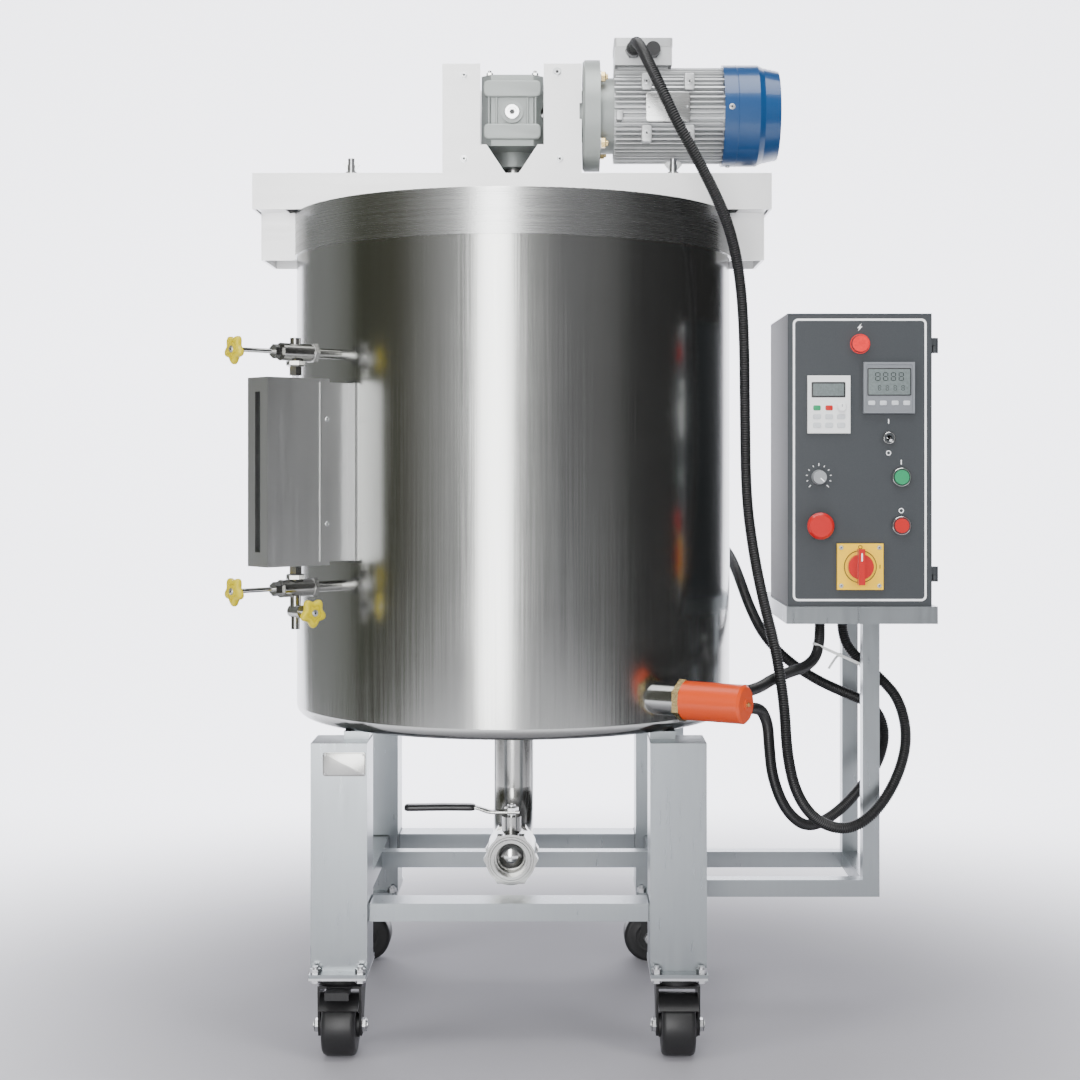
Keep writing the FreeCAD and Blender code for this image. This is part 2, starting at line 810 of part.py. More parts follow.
def tank_shell():
    """Outer shell with rounded bottom edge, drain hole and the heater's socket welded in."""
    top = s.rim_height - s.flange_thick
    outer = turned([(0, s.tank_low), (s.tank_radius, s.tank_low), (s.tank_radius, top), (0, top)],
                   [((s.tank_radius, s.tank_low), s.tank_corner)])
    inner = turned([(0, s.tank_low + s.shell_wall),
                    (s.tank_radius - s.shell_wall, s.tank_low + s.shell_wall),
                    (s.tank_radius - s.shell_wall, top), (0, top)],
                   [((s.tank_radius - s.shell_wall, s.tank_low + s.shell_wall),
                     s.tank_corner - s.shell_wall)])
    drain = rod(s.pipe_radius + s.weld, s.shell_wall, 0, 0, s.tank_low)
    socket = heater_part(rod(s.socket_radius, s.socket_out + s.socket_in, -s.socket_in, 0, 0, "X"))
    bore = heater_part(rod(s.socket_bore, s.socket_out + s.socket_in, -s.socket_in, 0, 0, "X"))
    node("tank_outer_shell", cut(fuse(cut(outer, inner, drain), socket), bore))


def heater_part(*pieces):
    """Turn pieces laid along X out to the heater's place and direction."""
    obj = group(*pieces)
    return seat(obj, *heater_place(), "Z", s.heater_turn)


def tank_vessel():
    """Inner vessel: rounded bottom, drain hole, and a flat ring that closes the jacket."""
    outer = turned([(0, s.vessel_low), (s.vessel_radius, s.vessel_low),
                    (s.vessel_radius, s.rim_height), (0, s.rim_height)],
                   [((s.vessel_radius, s.vessel_low), s.vessel_corner)])
    ring = rod(s.tank_radius, s.flange_thick, 0, 0, s.rim_height - s.flange_thick)
    bore = s.vessel_radius - s.vessel_wall
    inner = turned([(0, s.vessel_low + s.vessel_wall), (bore, s.vessel_low + s.vessel_wall),
                    (bore, s.rim_height), (0, s.rim_height)],
                   [((bore, s.vessel_low + s.vessel_wall), s.vessel_corner - s.vessel_wall)])
    drain = rod(s.pipe_radius - s.pipe_wall, s.vessel_wall, 0, 0, s.vessel_low)
    node("tank_inner_vessel", cut(fuse(outer, ring), inner, drain))


def rim_band():
    """Band welded round the top of the shell."""
    bore = s.tank_radius + s.weld
    low = s.rim_height - s.band_tall
    node("rim_band", turned([(bore, low), (bore + s.band_thick, low),
                             (bore + s.band_thick, s.rim_height), (bore, s.rim_height)]))


def lug_reach():
    """How far a lug's end is from the tank's axis."""
    return s.tank_radius + s.lug_out


def bearer_bolt_x():
    """How far the bolts through lug and beam are from the tank's axis."""
    return s.tank_radius + s.bearer_bolt_out


def bearer_lugs():
    """Hollow lug on each side of the tank, with the rubber pad that the beam rests on."""
    skin = s.tank_radius + s.weld * 2 + s.band_thick
    round_skin = rod(skin, s.lug_tall + 2, 0, 0, s.lug_top - s.lug_tall - 1)
    pieces = []
    for side in (-1, 1):
        inner_x = s.tank_radius * 0.9
        low_x = min_x(side, inner_x, lug_reach())
        block = box(low_x, -s.lug_wide / 2, s.lug_top - s.lug_tall, lug_reach() - inner_x,
                    s.lug_wide, s.lug_tall)
        cave = box(min_x(side, inner_x, lug_reach() - s.lug_wall), s.lug_wall - s.lug_wide / 2,
                   s.lug_top - s.lug_tall, lug_reach() - inner_x - s.lug_wall,
                   s.lug_wide - 2 * s.lug_wall, s.lug_tall - s.lug_wall)
        holes = [rod(s.bearer_bolt_radius + s.air, s.lug_wall, side * bearer_bolt_x(),
                     end * s.bearer_bolt_y, s.lug_top - s.lug_wall) for end in (-1, 1)]
        pieces.append(cut(block, cave, round_skin, *holes))
        pad = box(low_x, -s.lug_wide / 2, s.lug_top, lug_reach() - inner_x, s.lug_wide,
                  s.beam_low - s.lug_top)
        pad_holes = [rod(s.bearer_bolt_radius + s.air, s.beam_low - s.lug_top,
                         side * bearer_bolt_x(), end * s.bearer_bolt_y, s.lug_top)
                     for end in (-1, 1)]
        pad_skin = rod(skin, s.beam_low - s.lug_top, 0, 0, s.lug_top)
        pieces.append(cut(pad, pad_skin, *pad_holes))
    node("bearer_lugs", *pieces)


def min_x(side, near, far):
    """Lower X of a stretch from near to far on the given side."""
    return near if side > 0 else -far


def cross_beam():
    """Channel across the rim, open below, with the rear lid's hinge pin on its edge."""
    half = lug_reach() + s.beam_over
    wide = s.beam_wide / 2
    top = s.beam_low + s.beam_tall
    block = box(-half, -wide, s.beam_low, 2 * half, s.beam_wide, s.beam_tall)
    cave = box(s.beam_wall - half, s.beam_wall - wide, s.beam_low,
               2 * (half - s.beam_wall), s.beam_wide - 2 * s.beam_wall,
               s.beam_tall - s.beam_wall)
    webs = [box(side * bearer_bolt_x() - s.lug_wall * 5, s.beam_wall - wide, s.beam_low,
                s.lug_wall * 5 * 2, s.beam_wide - 2 * s.beam_wall, s.beam_wall)
            for side in (-1, 1)]
    bolts = [rod(s.bearer_bolt_radius + s.air, s.beam_tall, side_x * bearer_bolt_x(),
                 side_y * s.bearer_bolt_y, s.beam_low)
             for side_x in (-1, 1) for side_y in (-1, 1)]
    shaft = rod(s.shaft_hole, s.beam_tall, 0, 0, s.beam_low)
    pin_z = s.beam_low + s.lid_hinge_radius
    pin = rod(s.lid_pin_radius, 2 * s.lid_hinge_half, -s.lid_hinge_half, s.lid_hinge_y, pin_z, "X")
    knuckles = []
    for start in (-s.lid_hinge_half, s.lid_hinge_half - s.knuckle_long):
        knuckles.append(rod(s.lid_hinge_radius, s.knuckle_long, start, s.lid_hinge_y, pin_z, "X"))
        knuckles.append(box(start, wide, pin_z - 2, s.knuckle_long, s.lid_hinge_y - wide, 4))
    node("cross_beam", fuse(cut(fuse(cut(block, cave), *webs), *bolts, shaft), pin, *knuckles))


def lids():
    """Fixed front lid and hinged rear lid, both resting on the rim beside the beam."""
    low = s.rim_height
    edge = s.beam_wide / 2 - s.lid_tuck
    disc = rod(s.lid_radius, s.lid_thick, 0, 0, low)
    front = box(-s.lid_radius, -s.lid_radius, low, 2 * s.lid_radius, s.lid_radius - edge,
                s.lid_thick)
    node("front_lid", common(disc, front))
    rear_edge = s.lid_hinge_y + s.lid_pin_radius
    rear = box(-s.lid_radius, rear_edge, low, 2 * s.lid_radius, s.lid_radius - rear_edge,
               s.lid_thick)
    plate = common(rod(s.lid_radius, s.lid_thick, 0, 0, low), rear)
    pin_z = s.beam_low + s.lid_hinge_radius
    start = -s.lid_hinge_half + s.knuckle_long + s.air
    long = 2 * (s.lid_hinge_half - s.knuckle_long - s.air)
    barrel = rod(s.lid_hinge_radius, long, start, s.lid_hinge_y, pin_z, "X")
    web_low = low + s.lid_thick
    web = box(start, rear_edge, web_low, long, s.lid_hinge_radius, pin_z - web_low)
    bore = rod(s.lid_pin_radius + s.fit, long, start, s.lid_hinge_y, pin_z, "X")
    half = s.lid_handle_half
    top = web_low + s.lid_handle_tall
    feet = [rod(s.lid_handle_radius, s.lid_handle_tall, side * half, s.lid_handle_y, web_low)
            for side in (-1, 1)]
    grip = rod(s.lid_handle_radius, 2 * half, -half, s.lid_handle_y, top, "X")
    corners = [ball(s.lid_handle_radius, side * half, s.lid_handle_y, top) for side in (-1, 1)]
    hinged = fuse(plate, cut(fuse(barrel, web), bore))
    node("rear_lid", fuse(hinged, grip, *feet, *corners))


def gear_cover():
    """Folded cover that stands on the beam, carries the gear unit on a shelf and shows it."""
    low = s.beam_low + s.beam_tall
    front = s.beam_wide / -2
    deep = s.cover_back - front
    half = s.cover_half
    wall = s.cover_wall
    block = box(-half, front, low, 2 * half, deep, s.cover_top - low)
    cave = box(wall - half, front + wall, low, 2 * (half - wall), deep - 2 * wall,
               s.cover_top - low)
    shelf = box(wall - half, front + wall, s.window_low, 2 * (half - wall), deep - 2 * wall,
                s.gear_low - s.window_low)
    openings = [box(-s.notch_top, front + wall, s.window_low, 2 * s.notch_top, -front - wall,
                    s.gear_low - s.window_low)]
    for y in (front, s.cover_back - wall):
        openings.append(box(-s.window_half, y, s.gear_low, 2 * s.window_half, wall,
                            s.cover_top - s.gear_low))
        notch = padded([(-s.notch_half, low), (s.notch_half, low), (s.notch_top, s.gear_low),
                        (-s.notch_top, s.gear_low)], wall, "XZ_Plane")
        openings.append(seat(notch, 0, y + wall / 2, 0))
    neck = rod(s.neck_hole, wall, half - wall, -s.gear_distance, s.drive_height, "X")
    output = rod(s.output_radius + s.air, s.gear_low - s.window_low, 0, 0, s.window_low)
    node("gearbox_cover", cut(fuse(cut(block, cave), shelf), *openings, neck, output))


def gear_housing():
    """Worm gear housing: chambers for the wheel and the worm, output boss and input neck."""
    half = s.gear_half
    edge = s.gear_round
    middle = (s.gear_low + s.gear_top) / 2
    block = padded([(edge - half, s.gear_front), (half - edge, s.gear_front),
                    (half, s.gear_front + edge), (half, s.gear_back - edge),
                    (half - edge, s.gear_back), (edge - half, s.gear_back),
                    (-half, s.gear_back - edge), (-half, s.gear_front + edge)],
                   s.gear_top - s.gear_low)
    seat(block, 0, 0, middle)
    output = rod(s.output_radius, s.gear_low - s.output_low, 0, 0, s.output_low)
    neck = rod(s.input_neck_radius, s.flange_near - half, half, -s.gear_distance,
               s.drive_height, "X")
    plug = rod(s.plug_radius, s.plug_out, 0, s.gear_front, s.drive_height, "-Y")
    chamber = rod(s.wheel_gear_radius + s.air, s.wheel_gear_thick + 2 * s.air, 0, 0,
                  s.drive_height - s.wheel_gear_thick / 2 - s.air)
    tunnel = rod(s.worm_radius + 1, s.worm_half + 2 + s.flange_near, -s.worm_half - 2,
                 -s.gear_distance, s.drive_height, "X")
    bore = rod(s.shaft_radius + s.fit, s.gear_top - s.output_low, 0, 0, s.output_low)
    node("gearbox_housing", cut(fuse(block, output, neck, plug), chamber, tunnel, bore))


def motor_line(piece):
    """Turn a piece from the Z axis onto the motor's axis, its Z becoming X."""
    return seat(piece, 0, -s.gear_distance, s.drive_height, "X")


def motor():
    """Flange shield, finned frame, blue cowl, and the terminal box on its seat."""
    bore = s.motor_shaft + s.fit
    near = s.flange_near
    far = s.flange_far
    edge = s.flange_bevel
    web = far - s.shield_wall
    inside = s.shield_radius - s.shield_wall
    shield = turned([(bore, near), (s.flange_radius - edge, near), (s.flange_radius, near + edge),
                     (s.flange_radius, far), (s.shield_radius, far),
                     (s.shield_radius, s.motor_near), (inside, s.motor_near), (inside, web),
                     (bore, web)])
    node("motor_flange", motor_line(shield))
    core = turned([(inside, s.motor_near), (s.motor_core, s.motor_near),
                   (s.motor_core, s.motor_far), (bore, s.motor_far),
                   (bore, s.motor_far - s.bearing_depth),
                   (inside, s.motor_far - s.bearing_depth),
                   (inside, s.rotor_far + s.coil_gap), (s.stator_bore, s.rotor_far + s.coil_gap),
                   (s.stator_bore, s.rotor_near - s.coil_gap),
                   (inside, s.rotor_near - s.coil_gap)])
    fins = []
    for index in range(int(s.fin_count.value)):
        fin = box(s.motor_core - s.fin_thick / 2, s.fin_thick / -2, s.motor_near,
                  s.motor_fin - s.motor_core + s.fin_thick / 2, s.fin_thick,
                  s.motor_far - s.motor_near)
        fins.append(seat(group(fin), 0, 0, 0, "Z", index * 360 / s.fin_count.value))
    finned = motor_line(fuse(core, *fins))
    seat_low = s.drive_height + s.motor_core - 6
    pedestal = box(s.box_near + 6, -s.gear_distance - s.pedestal_half, seat_low,
                   s.box_far - s.box_near - 12, 2 * s.pedestal_half, s.box_low - seat_low)
    above = box(s.box_near - 1, s.box_front - 1, s.box_low, s.box_far - s.box_near + 2,
                s.box_back - s.box_front + 2, s.box_high - s.box_low)
    node("motor_frame", cut(fuse(finned, pedestal), above))
    wall = s.cowl_wall
    nose = s.cowl_far
    bevel = s.cowl_step + s.cowl_bevel
    cowl = turned([(s.motor_core - wall, s.motor_far), (s.cowl_radius, s.motor_far),
                   (s.cowl_radius, s.cowl_step), (s.cowl_radius - s.cowl_bevel / 2, bevel),
                   (s.cowl_nose, nose), (0, nose), (0, nose - wall),
                   (s.cowl_nose - wall, nose - wall),
                   (s.cowl_radius - s.cowl_bevel / 2 - wall, bevel),
                   (s.cowl_radius - wall, s.cowl_step), (s.cowl_radius - wall, s.motor_far + wall),
                   (s.motor_core - wall, s.motor_far + wall)])
    vents = []
    for index in range(int(s.vent_count.value)):
        hole = rod(s.vent_radius, wall * 2, s.vent_ring, 0, nose - wall * 1.5)
        vents.append(seat(group(hole), 0, 0, 0, "Z", index * 360 / s.vent_count.value))
    node("fan_cowl", motor_line(cut(cowl, *vents)))
    shell = box(s.box_near, s.box_front, s.box_low, s.box_far - s.box_near,
                s.box_back - s.box_front, s.box_high - s.box_low)
    cave = box(s.box_near + s.box_wall, s.box_front + s.box_wall, s.box_low + s.box_wall,
               s.box_far - s.box_near - 2 * s.box_wall, s.box_back - s.box_front - 2 * s.box_wall,
               s.box_high - s.box_low - 2 * s.box_wall)
    wires = rod(s.wire_hole, s.box_wall, (s.box_near + s.box_far) / 2, -s.gear_distance, s.box_low)
    node("terminal_box", cut(shell, cave, wires))


def rotor():
    """Motor shaft in one piece with its worm and core, and the fan on its end."""
    radius = s.motor_shaft
    end = s.fan_near + s.fan_blade
    shaft = turned([(0, -s.worm_half), (s.worm_radius, -s.worm_half),
                    (s.worm_radius, s.worm_half), (radius, s.worm_half), (radius, s.rotor_near),
                    (s.rotor_radius, s.rotor_near), (s.rotor_radius, s.rotor_far),
                    (radius, s.rotor_far), (radius, end), (0, end)])
    hub = radius * 1.8
    disc = turned([(radius + s.fit, s.fan_near), (s.fan_radius, s.fan_near),
                   (s.fan_radius, s.fan_near + s.fan_disc), (hub, s.fan_near + s.fan_disc),
                   (hub, end), (radius + s.fit, end)])
    blades = []
    for index in range(int(s.fan_blades.value)):
        blade = box(hub - 1, s.fan_disc / -2, s.fan_near, s.fan_radius - hub, s.fan_disc,
                    s.fan_blade)
        blades.append(seat(group(blade), 0, 0, 0, "Z", index * 360 / s.fan_blades.value))
    node("rotor_shaft", motor_line(group(shaft)), motor_line(fuse(disc, *blades)))


def agitator():
    """Shaft with worm wheel, anchor paddle hung on it, and scrapers on the paddle."""
    node("agitator_shaft", rod(s.shaft_radius, s.gear_top + s.shaft_cap - s.shaft_low, 0, 0,
                               s.shaft_low))
    low = s.drive_height - s.wheel_gear_thick / 2
    gear = rod(s.wheel_gear_radius - s.air, s.wheel_gear_thick, 0, 0, low)
    node("worm_wheel", cut(gear, rod(s.shaft_radius + s.fit, s.wheel_gear_thick, 0, 0, low)))
    thick = s.arm_thick
    reach = s.arm_reach
    inner = reach - s.arm_bar
    bars = [box(-reach, thick / -2, s.arm_low, 2 * reach, thick, s.arm_bar),
            box(-inner, thick / -2, s.tie_height, 2 * inner, thick, s.tie_tall),
            box(inner, thick / -2, s.arm_low, s.arm_bar, thick, s.arm_high - s.arm_low),
            box(-reach, thick / -2, s.arm_low, s.arm_bar, thick, s.arm_high - s.arm_low),
            rod(s.hub_radius, s.hub_tall, 0, 0, s.shaft_low),
            rod(s.hub_radius, s.hub_tall, 0, 0, s.tie_height + s.tie_tall / 2 - s.hub_tall / 2)]
    bore = rod(s.shaft_radius + s.fit, s.arm_high, 0, 0, s.shaft_low - 1)
    node("anchor_paddle", cut(fuse(*bars), bore))
    blades = []
    pitch = (s.arm_high - s.arm_low) / s.scraper_count
    floor = s.vessel_low + s.vessel_wall + 2
    for side in (-1, 1):
        y = thick / 2 if side > 0 else thick / -2 - s.scraper_thick
        x = s.scraper_reach - s.scraper_wide if side > 0 else -s.scraper_reach
        for index in range(int(s.scraper_count.value)):
            blades.append(box(x, y, s.arm_low + pitch * index + s.scraper_gap, s.scraper_wide,
                              s.scraper_thick, pitch - s.scraper_gap))
        near = s.hub_radius + s.scraper_gap
        far = inner + s.scraper_gap
        blades.append(box(min_x(side, near, far), y, floor, far - near, s.scraper_thick,
                          s.scraper_wide))
    node("scrapers", *blades)


def drain():
    """Pipe from the vessel's floor, bent forward to the ball valve with its lever."""
    radius = s.pipe_radius
    bore = radius - s.pipe_wall
    bend_top = s.drain_height + s.bend_radius
    outer = []
    inner = []
    for size, parts in ((radius, outer), (bore, inner)):
        parts.append(rod(size, s.vessel_low - bend_top, 0, 0, bend_top))
        bend = doc.addObject("Part::Torus", "bend")
        bind(bend, "Radius1", s.bend_radius)
        bind(bend, "Radius2", size)
        bend.Angle3 = 90
        bend.Placement = FreeCAD.Placement(FreeCAD.Vector(0, 0, 0), FreeCAD.Rotation(
            FreeCAD.Vector(0, 1, 0), FreeCAD.Vector(0, 0, -1), FreeCAD.Vector(-1, 0, 0), "XYZ"))
        bind(bend, "Placement.Base.y", -s.bend_radius)
        bind(bend, "Placement.Base.z", bend_top)
        parts.append(bend)
        parts.append(rod(size, -s.bend_radius - s.valve_back, 0, -s.bend_radius,
                         s.drain_height, "-Y"))
    node("drain_pipe", cut(fuse(*outer), *inner))
    z = s.drain_height
    long = s.valve_back - s.valve_front
    hexes = [hexagon(s.valve_hex, s.valve_hex_long, 0, s.valve_back, z, "-Y"),
             hexagon(s.valve_hex, s.valve_hex_long, 0, s.valve_front + s.valve_hex_long, z, "-Y")]
    barrel = rod(s.valve_body_radius, long, 0, s.valve_back, z, "-Y")
    bonnet = rod(s.bonnet_radius, s.bonnet_top - z, 0, valve_middle(), z)
    seats = ball(s.ball_radius + s.air, 0, valve_middle(), z)
    way = rod(s.valve_bore, long, 0, s.valve_back, z, "-Y")
    socket = rod(s.valve_socket, s.valve_socket_deep, 0, s.valve_front + s.valve_socket_deep, z,
                 "-Y")
    stem_hole = rod(s.stem_radius + s.fit, s.bonnet_top - z, 0, valve_middle(), z)
    node("valve_body", cut(fuse(barrel, bonnet, *hexes), seats, way, socket,
                           stem_hole))
    stem_top = s.lever_height + s.lever_thick
    plain = fuse(ball(s.ball_radius, 0, valve_middle(), z),
                 rod(s.stem_radius, stem_top - z, 0, valve_middle(), z))
    port = rod(s.valve_bore - 2, 2 * s.ball_radius, -s.ball_radius, valve_middle(), z, "X")
    node("valve_ball", cut(plain, port))
    boss = 0.7 * s.lever_wide
    reach = s.lever_long - s.lever_wide
    bar = box(-reach, valve_middle() - s.lever_wide / 2, s.lever_height,
              reach + boss, s.lever_wide, s.lever_thick)
    slot = box(-reach - s.fit, valve_middle() - s.lever_wide / 2 - s.fit,
               s.lever_height - s.fit, reach, s.lever_wide + 2 * s.fit,
               s.lever_thick + 2 * s.fit)
    nut = hexagon(boss * 0.8, s.lever_nut_tall, 0, valve_middle(), stem_top)
    hole = rod(s.stem_radius + s.fit, s.lever_thick, 0, valve_middle(), s.lever_height)
    long = s.lever_long - s.lever_grip
    grip = padded([(0, s.lever_wide * -0.62), (long - 8, s.lever_wide * -0.68),
                   (long, s.lever_wide * -0.25), (long, s.lever_wide * 0.25),
                   (long - 8, s.lever_wide * 0.68), (0, s.lever_wide * 0.62)],
                  s.lever_thick * 1.8)
    seat(grip, -s.lever_grip, valve_middle(), s.lever_height + s.lever_thick / 2, "Z", 180)
    node("valve_lever", fuse(cut(bar, hole), nut), cut(grip, slot))


def valve_middle():
    """Y of the valve's stem."""
    return (s.valve_back + s.valve_front) / 2


def heater_place():
    """Middle of the heater's socket where it meets the shell."""
    return (s.tank_radius * s.heater_share_x, s.tank_radius * s.heater_share_y,
            s.tank_low + s.heater_rise)


def heater():
    """Immersion heater screwed into its socket, and the cap over its terminals."""
    place = heater_place()
    plug = rod(s.socket_bore - s.fit, s.socket_out + s.socket_in, -s.socket_in, 0, 0, "X")
    head = hexagon(s.hex_radius, s.hex_long, s.socket_out, 0, 0, "X")
    rods = [rod(s.element_radius, s.element_long, -s.socket_in + 2, 0, side * s.element_half, "-X")
            for side in (-1, 1)]
    end = rod(s.element_radius, 2 * s.element_half, -s.socket_in + 2 - s.element_long, 0,
              -s.element_half)
    corners = [ball(s.element_radius, -s.socket_in + 2 - s.element_long, 0,
                    side * s.element_half) for side in (-1, 1)]
    node("immersion_heater", fuse(plug, head, *rods, end, *corners), at=place, turn=s.heater_turn)
    long = s.cap_long
    radius = s.cap_radius
    wall = s.cap_wall
    cap = turned([(0, long), (radius - s.cap_bevel, long), (radius, long - s.cap_bevel),
                  (radius, 0), (radius - wall, 0), (radius - wall, long - wall),
                  (0, long - wall)])
    seat(cap, s.socket_out + s.hex_long, 0, 0, "X")
    node("heater_cap", cap, at=place, turn=s.heater_turn)


def gauge():
    """Level gauge on the tank's wall: two cocks, the glass between them, its slotted cover."""
    turn = s.gauge_turn
    axis = s.gauge_axis
    nut = s.glass_radius * 1.9
    cocks = []
    for z, way in ((s.cock_high, -1), (s.cock_low, 1)):
        reach = axis - s.cock_half - s.tank_radius
        parts = [rod(s.stub_radius, reach, s.tank_radius + s.weld, 0, z, "X"),
                 rod(s.cock_radius, 2 * s.cock_half, axis - s.cock_half, 0, z, "X"),
                 hexagon(s.cock_radius * 0.8, s.cock_radius, axis + s.cock_half, 0, z, "X"),
                 hexagon(nut, s.cock_half + s.glass_socket, axis, 0, z,
                         "Z" if way > 0 else "-Z"),
                 rod(nut * 0.8, s.cock_radius * 1.6, axis, 0, z, "-Z" if way > 0 else "Z")]
        bores = [rod(s.stem_thin + s.fit, s.cock_radius * 2, axis + s.cock_half - s.cock_radius,
                     0, z, "X"),
                 rod(s.glass_radius + s.fit, s.glass_socket, axis, 0, z + way * s.cock_half)]
        if way < 0:
            bores[1] = rod(s.glass_radius + s.fit, s.glass_socket, axis, 0,
                           z - s.cock_half - s.glass_socket)
        if way > 0:
            low = s.drain_cock
            parts.append(rod(s.stub_radius, z - low, axis, 0, low))
            parts.append(rod(s.stub_radius * 1.2, s.cock_half, axis, -s.stub_radius, low, "Y"))
            parts.append(rod(s.stub_radius * 0.8, s.cock_half, axis, 0, low - s.cock_half))
            bores.append(rod(s.stem_thin + s.fit, s.cock_half / 2, axis,
                             s.cock_half / 2 - s.stub_radius, low, "Y"))
        cocks.append(cut(fuse(*parts), *bores))
    node("gauge_cocks", *cocks, turn=turn)
    low = s.cock_low + s.cock_half
    high = s.cock_high - s.cock_half
    tube = rod(s.glass_radius, high - low, axis, 0, low)
    node("gauge_glass", cut(tube, rod(s.glass_radius - s.glass_wall, high - low, axis, 0, low)),
         turn=turn)
    wall = s.gauge_wall
    half = s.gauge_half
    deep = s.gauge_face - s.gauge_back
    tall = s.gauge_high - s.gauge_low
    shell = box(s.gauge_back, -half, s.gauge_low, deep, 2 * half, tall)
    cave = box(s.gauge_back, wall - half, s.gauge_low + wall, deep - wall, 2 * (half - wall),
               tall - 2 * wall)
    slot = box(s.gauge_face - wall, -s.slot_half, s.gauge_low + s.slot_inset, wall,
               2 * s.slot_half, tall - 2 * s.slot_inset)
    nuts = rod(nut + 1, tall, axis, 0, s.gauge_low)
    skin = rod(s.tank_radius + s.weld, tall, 0, 0, s.gauge_low)
    plate = box(s.tank_radius * 0.98, half, s.gauge_low + wall * 4,
                s.gauge_back - s.tank_radius * 0.98 + s.strip_foot, s.strip_thick,
                tall - wall * 8)
    foot = box(s.tank_radius * 0.98, half, s.gauge_low + wall * 4,
               s.tank_radius * 0.02 + s.strip_thick, s.strip_foot, tall - wall * 8)
    node("gauge_cover", cut(shell, cave, slot, nuts), cut(fuse(plate, foot), skin), turn=turn)
    start = axis + s.cock_half - s.cock_radius + 3
    for label, z in (("handwheel_top", s.cock_high), ("handwheel_bottom", s.cock_low)):
        spindle = rod(s.stem_thin, s.wheel_place - start, start, 0, z, "X")
        wheel = seat(hand_wheel(), s.wheel_place, 0, z, "X")
        node(label, fuse(spindle, wheel), turn=turn)
    start = s.cock_half - s.stub_radius
    spindle = rod(s.stem_thin, s.drain_wheel - start + 10, axis, start - 10, s.drain_cock, "Y")
    wheel = seat(hand_wheel(), axis, s.drain_wheel, s.drain_cock, "Y")
    node("handwheel_drain", fuse(spindle, wheel), turn=turn)


def hand_wheel():
    """Lobed handwheel on Z, its back at zero."""
    lobes = []
    for index in range(int(s.hand_lobes.value)):
        lobe = rod(s.hand_lobe, s.hand_thick, s.hand_radius - s.hand_lobe, 0, 0)
        lobes.append(seat(group(lobe), 0, 0, 0, "Z", index * 360 / s.hand_lobes.value))
    return group(fuse(rod(s.hand_radius * 0.64, s.hand_thick, 0, 0, 0), *lobes))


